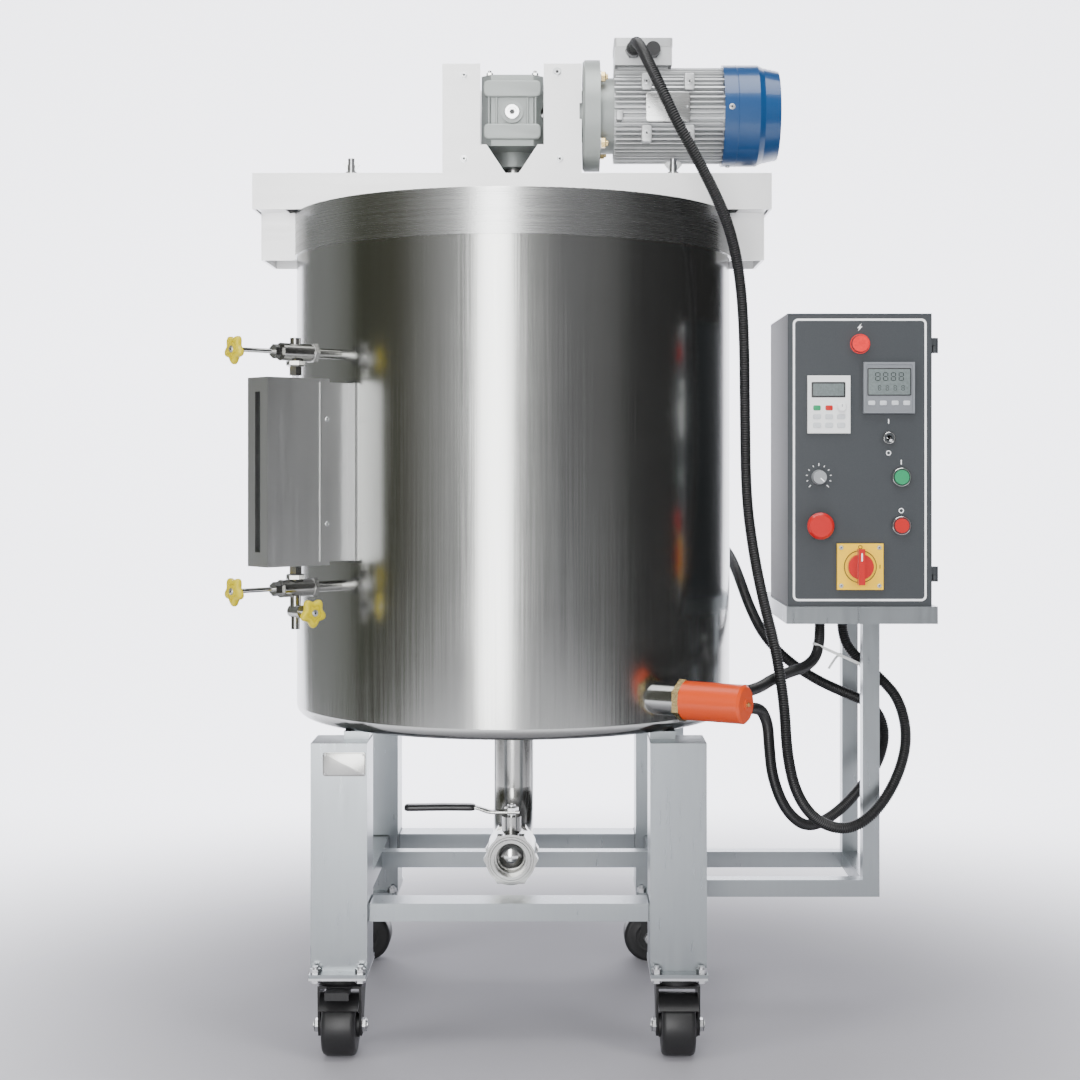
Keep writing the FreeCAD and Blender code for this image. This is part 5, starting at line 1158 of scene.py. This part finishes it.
@dataclass
class GearTrim(Builder):
    """Lips, ribs, plug and screws on the front of the gear unit and its cover."""

    front: float = -112.0
    drive: float = 1632.0
    lip_wide: float = 104.0
    lip_out: float = 8.0
    rib_out: float = 5.0
    cover_front: float = -125.0

    def build(self) -> None:
        """Build the trim of the casting and the screws of the cover."""
        casting = self.take(CASTING)
        steel = self.take(POLISHED)
        black = self.take(BLACK)
        trim = self.piece("gear_trim")
        for low, high in ((1583.0, 1611.0), (1659.0, 1689.0)):
            trim.pad(rounded(self.lip_wide, high - low, 9.0), self.lip_out,
                     (0.0, self.front + 0.5, (low + high) / 2), Axis.FRONT, casting, 3.0)
        for x in (-42.0, -28.0, 28.0, 42.0):
            trim.pad(rounded(4.0, 50.0, 1.5), self.rib_out, (x, self.front + 0.5, 1635.0),
                     Axis.FRONT, casting, 1.5)
        plug = (0.0, self.front - 5.9, self.drive)
        trim.turned([(13.5, 0.0), (13.5, 3.0), (12.5, 4.0), (8.0, 4.0), (7.6, 1.6), (0.2, 1.6)],
                    plug, Axis.FRONT, steel, 40)
        # Black hexagon on the recess floor: painted shade of the plug's socket.
        trim.drawn(circle(5.2, 6), [(0.0, 0.0), (0.3, 0.1)], (0.0, plug[1] - 1.5, self.drive),
                   Axis.FRONT, black)
        for x in (-41.0, 41.0):
            trim.nut((x, -97.0, 1699.5), Axis.Z, 12.0, 7.0, steel, 3.5)
        trim.ring(44.0, 1.6, (0.0, 0.0, 1557.0), Axis.Z, casting)
        trim.done(ROOT)
        screws = self.piece("cover_screws")
        zinc = self.take(ZINC)
        for x, z, radius in ((-86.0, 1696.0, 5.0), (81.0, 1702.0, 6.5), (-86.0, 1546.0, 5.0),
                             (86.0, 1546.0, 5.0)):
            screws.screw((x, self.cover_front + 0.1, z), Axis.FRONT, radius, 4.5, zinc, black)
        screws.done(ROOT)


@dataclass
class MotorTrim(Builder):
    """Foot bosses, bare plate, flange nuts, cowl screws and lid seam of the motor."""

    depth: float = -75.0
    drive: float = 1632.0
    bolt_circle: float = 84.0
    cowl_radius: float = 91.0
    fins: int = 28
    fin_foot: float = 69.0
    fin_tall: float = 16.4
    fin_thick: float = 2.4
    fin_start: float = 185.5
    fin_end: float = 376.5

    def build(self) -> None:
        """Build bosses, plate, fins, nuts, screws and seam."""
        alloy = self.take(MOTOR)
        fins = self.piece("motor_fins")
        blade = rounded(self.fin_end - self.fin_start, self.fin_thick, 0.6, 3)
        middle = (self.fin_start + self.fin_end) / 2
        for turn in (np.arange(self.fins) + 0.5) * 2 * math.pi / self.fins:
            out = (0.0, math.cos(turn), math.sin(turn))
            foot = (middle, self.depth + self.fin_foot * out[1],
                    self.drive + self.fin_foot * out[2])
            fins.pad(blade, self.fin_tall, foot, out, alloy, 0.7)
        fins.done(ROOT)
        zinc = self.take(ZINC)
        black = self.take(BLACK)
        trim = self.piece("motor_trim")
        for x in (240.0, 316.0):
            for z in (-46.0, 46.0):
                foot = (x, self.depth - 60.0, self.drive + z)
                trim.pad(rounded(18.0, 30.0, 4.0), 25.0, foot, Axis.FRONT, alloy, 1.5)
                trim.screw((x, foot[1] - 24.9, foot[2]), Axis.FRONT, 4.6, 3.0, zinc, black)
        trim.pad(rounded(12.0, 17.0, 3.0), 26.0, (192.0, self.depth - 60.0, self.drive - 14.0),
                 Axis.FRONT, alloy, 1.5)
        trim.pad(rounded(78.0, 52.0, 5.0), 1.0, (278.0, self.depth - 86.0, self.drive),
                 Axis.FRONT, self.take(BAND), 0.4)
        for x in (-34.0, 34.0):
            trim.turned([(2.0, 0.0), (2.0, 0.8), (1.2, 1.4)], (278.0 + x, self.depth - 86.9,
                        self.drive), Axis.FRONT, zinc, 14)
        trim.done(ROOT)
        nuts = self.piece("flange_nuts")
        turn = np.radians([45.0, 135.0, 225.0, 315.0])
        for y, z in zip(self.bolt_circle * np.cos(turn), self.bolt_circle * np.sin(turn)):
            spot = (157.9, self.depth + float(y), self.drive + float(z))
            nuts.turned([(11.0, 0.0), (11.0, 1.8)], spot, Axis.X, zinc, 24)
            nuts.nut((159.6, spot[1], spot[2]), Axis.X, 19.0, 8.5, self.take(BRASS), 4.0)
        nuts.done(ROOT)
        cowl = self.piece("cowl_trim")
        blue = self.take(COWL)
        for angle in (0.0, 90.0, 180.0, 270.0):
            out = (0.0, math.cos(math.radians(angle)), math.sin(math.radians(angle)))
            rim = self.cowl_radius - 0.3
            cowl.screw((391.0, self.depth + rim * out[1], self.drive + rim * out[2]), out, 4.0,
                       2.2 if angle < 45 or angle > 135 else 0.9, zinc, black)
        cowl.ring(self.cowl_radius - 0.4, 1.0, (404.0, self.depth, self.drive), Axis.X, blue)
        for radius in (18.0, 30.0, 42.0, 66.0):
            cowl.ring(radius, 1.0, (480.0, self.depth, self.drive), Axis.BACK_X, blue)
        cowl.done(ROOT)
        seam = self.piece("box_seam")
        seam.ringed_plate(rounded(105.0, 102.0, 5.0), rounded(102.6, 99.6, 4.0), 15.6,
                          (235.5, -77.0, 1747.0), Axis.Z, alloy)
        seam.done(ROOT)


@dataclass
class DoorTrim(Builder):
    """What is printed and fitted on the cabinet's door: line, displays, keys and marks."""

    middle_x: float = 606.0
    middle_z: float = 1006.0
    face: float = -230.0
    line_wide: float = 3.6
    line_inset: float = 9.0
    half_wide: float = 125.0
    half_tall: float = 254.0

    def spot(self, u: float, v: float, out: float = 0.0) -> Point:
        """Point on the door.

        Args:
            u: Right of the door's middle.
            v: Above it.
            out: In front of its face.

        Returns:
            The point from the tank's axis.
        """
        return (self.middle_x + u, self.face - out, self.middle_z + v)

    def plate(self, piece: Piece, outline: tuple, thick: float, at: tuple,
              material: bpy.types.Material, soft: float = 0.8, spin: float = 0.0) -> None:
        """Lay a rounded plate on the door.

        Args:
            piece: Piece that gets it.
            outline: Width, height, corner and steps, as rounded takes them.
            thick: Its thickness.
            at: Its middle, as spot takes it.
            material: Its material.
            soft: Size of its eased edge.
            spin: Degrees that it is turned.
        """
        piece.pad(rounded(*outline), thick, self.spot(*at), Axis.FRONT, material, soft, spin)

    def marks(self) -> None:
        """White border line and plain marks by the fittings: ring for off, bar for on, ticks."""
        white = self.take(MARK)
        marks = self.piece("door_marks")
        wide = 2 * (self.half_wide - self.line_inset)
        tall = 2 * (self.half_tall - self.line_inset)
        gap = 2 * self.line_wide
        marks.ringed_plate(rounded(wide, tall, 9.0, 8), rounded(wide - gap, tall - gap, 6.0, 8),
                           0.25, self.spot(0, 0), Axis.FRONT, white)
        for u, v in ((50.0, 67.0), (72.0, -4.0)):
            self.plate(marks, (1.8, 8.0, 0.5, 2), 0.25, (u, v), white, 0.1)
        for u, v in ((50.0, 12.0), (72.0, -88.0)):
            marks.ringed_plate(circle(4.4), circle(3.0), 0.25, self.spot(u, v), Axis.FRONT, white)
        bolt = np.array([(-3.0, -7.0), (4.5, 1.5), (0.8, 1.5), (3.0, 7.0), (-4.5, -1.5),
                         (-0.8, -1.5)])
        marks.drawn(bolt, [(0.0, 0.0), (0.25, 0.0)], self.spot(0, 230.0), Axis.FRONT, white)
        for index in range(11):
            angle = math.radians(225 - 27 * index)
            long = 5.0 if index % 5 == 0 else 3.0
            reach = 19.5 + long / 2
            marks.pad(rounded(long, 1.2, 0.3, 2), 0.25,
                      self.spot(-71 + reach * math.cos(angle), -30 + reach * math.sin(angle)),
                      Axis.FRONT, white, 0.1, math.degrees(angle))
        marks.done("door")

    def keypad(self) -> None:
        """Keypad of the motor drive: display, coloured keys, dial and six grey keys."""
        take = self.take
        out = 5.0
        pad = self.piece("keypad_trim")
        pad.ringed_plate(rounded(72.0, 98.0, 4.0), rounded(68.0, 94.0, 3.0), 0.9,
                         self.spot(-54, 96, out), Axis.FRONT, take(KEYPAD))
        self.plate(pad, (59.0, 27.0, 2.0), 1.0, (-55, 121.5, out), take(BLACK))
        self.plate(pad, (53.0, 21.0, 1.0), 0.3, (-55, 121.5, out + 1.0), take(SCREEN))
        for u, finish in ((-75.0, GREEN), (-54.0, RED)):
            self.plate(pad, (13.0, 9.0, 2.5), 1.6, (u, 90, out), take(finish))
        dial = self.spot(-32, 91, out)
        pad.turned([(8.6, 0.0), (8.6, 1.0), (7.6, 1.0), (7.4, 5.0), (6.2, 6.2), (0.3, 6.2)], dial,
                   Axis.FRONT, take(KEYPAD), 36)
        self.plate(pad, (1.2, 5.0, 0.3, 2), 0.3, (-32, 94, out + 6.1), take(CONTROL), 0.1)
        for v in (75.0, 60.0):
            for u in (-75.0, -54.0, -33.0):
                self.plate(pad, (14.0, 9.0, 2.5), 1.4, (u, v, out), take(KEY))
        pad.done("door")

    def controller(self) -> None:
        """Temperature controller: bezel, display with two rows of plain digits, four keys."""
        take = self.take
        out = 7.0
        unit_face = self.piece("controller_trim")
        unit_face.ringed_plate(rounded(88.0, 88.0, 4.0), rounded(81.0, 81.0, 3.0), 1.6,
                               self.spot(50, 125, out), Axis.FRONT, take(CONTROL))
        self.plate(unit_face, (76.0, 48.0, 2.5), 0.8, (50, 135, out), take(BLACK))
        self.plate(unit_face, (72.0, 44.0, 1.5), 0.9, (50, 135, out), take(SCREEN), 0.1)
        for row, (v, tall) in enumerate(((144.0, 15.0), (124.5, 9.0))):
            for column in range(4):
                self.eight(unit_face, 30.0 + column * 13.5 + row * 3, v, tall, out + 0.9,
                           take(DIGIT))
        for u in (19.5, 39.5, 60.0, 80.0):
            self.plate(unit_face, (12.0, 8.0, 2.0), 1.5, (u, 98.5, out), take(KEY))
        unit_face.done("door")

    def eight(self, piece: Piece, u: float, v: float, tall: float, out: float,
              material: bpy.types.Material) -> None:
        """One digit of a display, an eight of seven bars.

        Args:
            piece: Piece that gets the bars.
            u: Middle of the digit, right of the door's middle.
            v: Its middle, above the door's middle.
            tall: Its height.
            out: Where it lies in front of the door.
            material: Material of the bars.
        """
        bar = tall * 0.11
        wide = tall * 0.5
        for shift in (-0.5, 0.0, 0.5):
            self.plate(piece, (wide - bar, bar, bar * 0.4, 2), 0.12,
                       (u, v + shift * (tall - bar), out), material, 0.05)
        for side in (-0.5, 0.5):
            for shift in (-0.25, 0.25):
                self.plate(piece, (bar, tall * 0.4, bar * 0.4, 2), 0.12,
                           (u + side * wide, v + shift * tall, out), material, 0.05)

    def fittings(self) -> None:
        """Rings round lamp and buttons, screws and marks of the switch plate, knob's tick."""
        take = self.take
        rings = self.piece("button_rings")
        chrome = take(POLISHED)
        for v in (-30.0, -114.0):
            rings.ring(15.2, 0.9, self.spot(72, v, 5.0), Axis.FRONT, chrome)
        rings.ring(14.8, 0.8, self.spot(0, 201, 5.6), Axis.FRONT, take(BLACK))
        rings.ring(9.4, 0.8, self.spot(50, 38, 6.9), Axis.FRONT, chrome)
        rings.done("door")
        plate = self.piece("switch_marks")
        black = take(BLACK)
        plate.ringed_plate(circle(28.5, 48), circle(27.0, 48), 0.25, self.spot(0, -185, 6.0),
                           Axis.FRONT, black)
        for u in (-33.0, 33.0):
            for v in (-33.0, 33.0):
                plate.screw(self.spot(u, -185 + v, 5.9), Axis.FRONT, 2.8, 1.6, take(ZINC), black)
        plate.ringed_plate(circle(3.6), circle(2.5), 0.25, self.spot(0, -151, 6.0), Axis.FRONT,
                           black)
        self.plate(plate, (1.5, 7.0, 0.4, 2), 0.25, (34, -185, 6.0), black, 0.1)
        plate.done("door")
        tick = self.piece("knob_tick")
        self.plate(tick, (1.8, 9.0, 0.6, 2), 0.4, (-67, -34.5, 17.0), take(MARK), 0.2, 48.0)
        tick.done("speed")
        pointer = self.piece("switch_tick")
        self.plate(pointer, (2.4, 14.0, 0.8, 2), 0.5, (0, -168, 23.9), take(MARK), 0.2)
        pointer.done("main_switch")

    def build(self) -> None:
        """Build everything on the door."""
        self.marks()
        self.keypad()
        self.controller()
        self.fittings()


@dataclass
class GaugeTrim(Builder):
    """Screws and latches of the gauge's cover, and the nuts of its two cocks."""

    turn: float = 223.0
    flange_radial: float = 446.0
    flange_side: float = 29.0
    screw_heights: tuple[float, float] = (898.0, 1074.0)
    latch_radial: float = 401.5
    latch_side: float = 8.0
    latch_deep: float = 9.0
    latch_heights: tuple[float, float] = (852.0, 1128.0)
    cock_axis: float = 489.0
    cock_radius: float = 15.0
    hex_back: float = 39.0
    cock_heights: tuple[float, float] = (1186.0, 791.0)

    def build(self) -> None:
        """Place screws on the cover's side, latches by its foot and nuts on the cocks."""
        out, side = heading(self.turn)
        trim = self.piece("gauge_screws")
        zinc = self.take(ZINC)
        steel = self.take(POLISHED)
        for z in self.screw_heights:
            spot = out * self.flange_radial + side * (self.flange_side - 0.1) + RISE * z
            trim.screw(spot, side, 4.2, 2.6, zinc, self.take(BLACK))
        for z in self.latch_heights:
            latch = out * self.latch_radial + side * self.latch_side + RISE * z
            trim.pad(rounded(12.0, 17.0, 2.0), self.latch_deep, latch, out, steel,
                     1.2)
            trim.turned([(3.6, 0.0), (3.6, 4.0), (2.4, 5.0)],
                        latch + out * self.latch_deep, out, steel, 20)
        trim.done(ROOT)
        nuts = self.piece("cock_nuts")
        satin = self.take(SATIN)
        for z in self.cock_heights:
            low = out * (self.cock_axis - self.hex_back) + RISE * z
            nuts.nut(low, out, 36.0, 11.0, satin)
            face = out * (self.cock_axis + self.cock_radius) + RISE * z
            nuts.nut(face, out, 25.0, 12.0, satin)
            nuts.turned([(9.0, 12.0), (9.0, 15.5), (7.4, 16.5), (7.4, 24.0), (6.4, 25.0)],
                        face, out, steel, 32)
            inward = -1.0 if z == max(self.cock_heights) else 1.0
            glass = out * self.cock_axis + RISE * (z + inward * self.cock_radius)
            nuts.nut(glass, (0.0, 0.0, inward), 31.0, 9.0, satin)
        nuts.done(ROOT)


@dataclass
class Handwheels(Builder):
    """Yellow lobed handwheels of the cocks, each on a steel stem with a screw in its middle."""

    turn: float = 223.0
    stem_foot: float = 505.0
    stem_long: float = 99.0
    drain_axis: float = 489.0
    drain_foot: float = 10.0
    drain_long: float = 36.0
    top: float = 1186.0
    bottom: float = 791.0
    drain: float = 752.0
    stem_radius: float = 4.0
    lobes: int = 5
    radius: float = 21.5
    lobe: float = 3.4
    steps: tuple[tuple[float, float], ...] = (
        (0.0, 3.2), (1.0, 1.0), (2.6, 0.0), (6.2, 0.0), (8.6, 1.0), (10.2, 3.2), (11.0, 6.6),
        (11.0, 9.4), (9.6, 10.2), (9.6, 12.2), (10.8, 13.0), (11.0, 15.0))

    def wheel(self, label: str, foot: np.ndarray, out: np.ndarray, reach: float) -> None:
        """Build one wheel with its stem; one lobe points down.

        Args:
            label: Which cock it belongs to.
            foot: Where the stem starts.
            out: Direction of the stem.
            reach: From the foot to the back of the disc.
        """
        made = self.piece("wheel_of_cock_" + label)
        steel = self.take(POLISHED)
        made.turned([(self.stem_radius, 0.0), (self.stem_radius, reach + 1.0)], foot,
                    out, steel, 28)
        made.turned([(8.0, reach - 5.0), (8.6, reach - 4.0), (8.6, reach + 0.6)], foot,
                    out, self.take(YELLOW), 32)
        back = foot + out * reach
        made.drawn(star(self.lobes, self.radius, self.lobe, 100), list(self.steps), back,
                   out, self.take(YELLOW), -90.0)
        made.screw(foot + out * (reach + self.steps[-1][0] - 0.2), out, 4.4, 1.8,
                   self.take(ZINC), self.take(BLACK))
        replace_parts(made.done("cock_" + label, 50.0), "handwheel_" + label)

    def build(self) -> None:
        """Build the wheels of the upper cock, the lower cock and the drain cock."""
        out, side = heading(self.turn)
        self.wheel("top", out * self.stem_foot + RISE * self.top, out, self.stem_long)
        self.wheel("bottom", out * self.stem_foot + RISE * self.bottom, out, self.stem_long)
        self.wheel("drain", out * self.drain_axis + side * self.drain_foot + RISE * self.drain,
                   side, self.drain_long)


@dataclass
class LeverTrim(Builder):
    """Handle of the drain valve: a cranked flat bar, the stem's nut and a black sleeve."""

    depth: float = -156.0
    bar_wide: float = 20.0
    bar_thick: float = 5.0
    sleeve_wide: float = 26.0
    sleeve_thick: float = 11.0
    sleeve_end: float = 9.0
    sleeve_long: float = 126.0
    smoothings: int = 6
    mouth: Point = (0.0, -208.1, 307.0)

    def crank(self, corners: list[tuple[float, float]]) -> np.ndarray:
        """Path through corners: each point moves halfway to its neighbours' mean, again and again.

        Args:
            corners: Pairs of x and z.

        Returns:
            Points of the path.
        """
        line = np.array(corners)
        long = np.concatenate([[0.0], np.cumsum(np.linalg.norm(np.diff(line, axis=0), axis=1))])
        at = np.linspace(0.0, long[-1], 48)
        flat = np.column_stack([np.interp(at, long, line[:, 0]), np.interp(at, long, line[:, 1])])
        for _ in range(self.smoothings):
            flat[1:-1] = (flat[:-2] + 2 * flat[1:-1] + flat[2:]) / 4
        return np.column_stack([flat[:, 0], np.full(len(flat), self.depth), flat[:, 1]])

    def build(self) -> None:
        """Build bar, nut and sleeve."""
        made = self.piece("lever_of_valve")
        steel = self.take(SATIN)
        bar = self.crank([(14.0, 381.0), (-40.0, 381.0), (-62.0, 389.5), (-110.0, 389.5)])
        made.carried(bar, rounded(self.bar_wide, self.bar_thick, 1.2, 3), steel)
        made.nut((0.0, self.depth, 383.4), Axis.Z, 25.0, 8.0, self.take(POLISHED), 4.0)
        sleeve = self.crank([(-64.0, 389.6), (-120.0, 390.0), (-190.0, 389.0)])
        along = np.linspace(0, 1, len(sleeve))
        ends = np.minimum(along, 1 - along) * self.sleeve_long / self.sleeve_end
        share = 0.62 + 0.38 * np.sqrt(np.clip(1 - (1 - np.clip(ends, 0, 1)) ** 2, 0, 1))
        made.carried(sleeve, rounded(self.sleeve_wide, self.sleeve_thick, 4.8, 6),
                     self.take(BLACK), share)
        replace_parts(made.done("valve", 40.0), "valve_lever")
        mouth = self.piece("valve_mouth")
        mouth.turned([(30.2, 0.0), (30.2, 1.6), (35.0, 1.6), (36.0, 0.6), (39.4, 0.6),
                      (40.0, 0.0)], self.mouth, Axis.FRONT, steel, 64, ringed=True)
        mouth.done(ROOT)


@dataclass
class FrameTrim(Builder):
    """Weld beads of the frame and the bare plate on its front leg."""

    leg_inner: float = 237.5
    rail_low: float = 227.0
    rail_high: float = 257.0
    bead: float = 2.3
    ripple: float = 3.0

    def weld(self, piece: Piece, start: Point, end: Point) -> None:
        """Lay a bead from start to end: radius b (1 + 0.12 cos(2 pi s / ripple)).

        Args:
            piece: Piece that gets the bead.
            start: First point.
            end: Last point.
        """
        first, last = np.asarray(start, float), np.asarray(end, float)
        long = float(np.linalg.norm(last - first))
        count = max(8, int(long / self.ripple) * 4)
        along = np.linspace(0, 1, count + 1)
        path = first + (last - first) * along[:, None]
        ends = np.clip(np.minimum(along, 1 - along) * long / self.bead, 0.15, 1.0) ** 0.5
        share = ends * (1 + 0.12 * np.cos(2 * math.pi * along * long / self.ripple))
        piece.carried(path, circle(self.bead, 10), self.take(FRAME), share,
                      up=(0.3, 0.2, 0.93) if abs(last[2] - first[2]) < long / 2
                      else (1.0, 0.0, 0.0))

    def build(self) -> None:
        """Lay the beads where rails meet legs, and fix the plate."""
        welds = self.piece("weld_beads")
        inner = self.leg_inner
        for side in (-1, 1):
            x = side * inner
            for y in (-315.0, -255.0, 255.0, 315.0):
                self.weld(welds, (x, y, self.rail_low), (x, y, self.rail_high))
            for y in (-315.0, 255.0):
                self.weld(welds, (x, y, self.rail_high), (x, y + 60.0, self.rail_high))
            for y in (-inner, inner):
                for across in (255.0, 315.0):
                    self.weld(welds, (side * across, y, self.rail_low),
                              (side * across, y, self.rail_high))
                self.weld(welds, (side * 255.0, y, self.rail_high),
                          (side * 315.0, y, self.rail_high))
        welds.done(ROOT)
        plate = self.piece("leg_plate")
        plate.pad(rounded(72.0, 40.0, 4.0), 0.9, (-276.0, -332.4, 495.0), Axis.FRONT,
                  self.take(SATIN), 0.4)
        plate.ringed_plate(rounded(69.0, 37.0, 3.4), rounded(67.6, 35.6, 3.0), 0.2,
                           (-276.0, -333.2, 495.0), Axis.FRONT, self.take(BLACK))
        for x in (-32.0, 32.0):
            for z in (-16.0, 16.0):
                plate.turned([(1.8, 0.0), (1.8, 0.7), (1.0, 1.2)], (-276.0 + x, -333.2, 495.0 + z),
                             Axis.FRONT, self.take(ZINC), 12)
        plate.done(ROOT)


@dataclass
class CasterTrim(Builder):
    """Smooth wheels with round shoulders, bright axle nuts and a hood over each wheel."""

    fork_half: float = 37.0
    nut_tall: float = 7.4
    axle_out: float = 9.3
    hood_in: float = 52.0
    hood_out: float = 54.5
    hood_half: float = 33.5
    hood_low: float = 40.0
    section: tuple[tuple[float, float], ...] = (
        (20.0, -32.5), (20.0, -28.6), (23.0, -27.8), (25.5, -28.6), (28.5, -28.6),
        (31.0, -27.8), (41.0, -28.6), (44.5, -28.2), (47.4, -26.4), (49.2, -23.6),
        (50.0, -20.0))

    def hood(self, piece: Piece, middle: np.ndarray, line: np.ndarray, ahead: np.ndarray
             ) -> None:
        """Bend a sheet over the wheel: r (cos u ahead + sin u rise), with u up to the hood's ends.

        Args:
            piece: Piece that gets the sheet.
            middle: Centre of the wheel.
            line: Direction of the axle.
            ahead: Level direction that the wheel rolls in.
        """
        turn = np.radians(np.linspace(self.hood_low, 180.0 - self.hood_low, 30))
        spoke = np.cos(turn)[:, None] * ahead + np.sin(turn)[:, None] * RISE
        sheet = [spoke * reach + line * across
                 for reach, across in ((self.hood_in, self.hood_half),
                                       (self.hood_out, self.hood_half),
                                       (self.hood_out, -self.hood_half),
                                       (self.hood_in, -self.hood_half))]
        piece.loft(middle + np.stack(sheet, axis=1), self.take(FORK))

    def build(self) -> None:
        """Build wheel, nuts and hood of the four casters."""
        profile = [*self.section, *[(radius, -height) for radius, height in
                                    reversed(self.section)]]
        for label, centre, along in (
                ("front_left", (-285.0, -305.0, 50.0), Axis.X),
                ("front_right", (285.0, -305.0, 50.0), Axis.X),
                ("rear_left", (-305.0, 285.0, 50.0), Axis.FRONT),
                ("rear_right", (265.0, 285.0, 50.0), Axis.FRONT)):
            middle = np.asarray(centre)
            line = np.asarray(along.value)
            nuts = self.piece("axle_nuts_" + label)
            for side in (-1, 1):
                out = line * side
                foot = middle + line * side * (self.fork_half - 0.05)
                nuts.nut(foot, out, 23.2, self.nut_tall, self.take(ZINC),
                         self.axle_out - self.nut_tall)
            self.hood(nuts, middle, line, np.cross(line, RISE))
            nuts.done("caster_" + label)
            wheel = self.piece("tyre_" + label)
            wheel.turned(profile, centre, along, self.take(TYRE), 96)
            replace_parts(wheel.done("roller_" + label), "wheel_" + label)


@dataclass
class HeaterTrim(Builder):
    """Thin brass tube and small nut in the end of the heater's orange cap."""

    turn: float = -30.0
    foot: Point = (252.0, -311.0, 603.0)
    cap_end: float = 162.0

    def build(self) -> None:
        """Place the nut and the tube on the cap's end."""
        out, _ = heading(self.turn)
        end = np.asarray(self.foot) + out * (self.cap_end - 0.1)
        trim = self.piece("cap_trim")
        brass = self.take(BRASS)
        trim.turned([(9.0, 0.0), (9.0, 1.2), (8.4, 1.8), (0.3, 1.8)], end, out,
                    self.take(ORANGE), 28)
        trim.nut(end + out * 1.7, out, 9.0, 3.2, brass, 2.6)
        trim.done(ROOT)


def main() -> None:
    """Load the frame, dress it and build the pieces in order."""
    logging.basicConfig(level=logging.INFO, format="%(name)s: %(message)s")
    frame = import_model()
    place = Place.of_axis()
    palette = Palette()
    Studio(place, palette).build()
    motor_line = Conduit(place, palette, "motor_hose", "conduit_motor", MOTOR_ROUTE, 2.10).build()
    heater_line = Conduit(place, palette, "heater_hose", "conduit_heater", HEATER_ROUTE,
                          0.37).build()
    Conduit(place, palette, "probe_hose", "conduit_probe", PROBE_ROUTE, 1.80).build()
    palette.dress(frame)
    CableTie(place, palette).build(motor_line, heater_line)
    GearTrim(place, palette).build()
    MotorTrim(place, palette).build()
    DoorTrim(place, palette).build()
    GaugeTrim(place, palette).build()
    Handwheels(place, palette).build()
    LeverTrim(place, palette).build()
    FrameTrim(place, palette).build()
    CasterTrim(place, palette).build()
    HeaterTrim(place, palette).build()


if __name__ == "__main__":
    main()
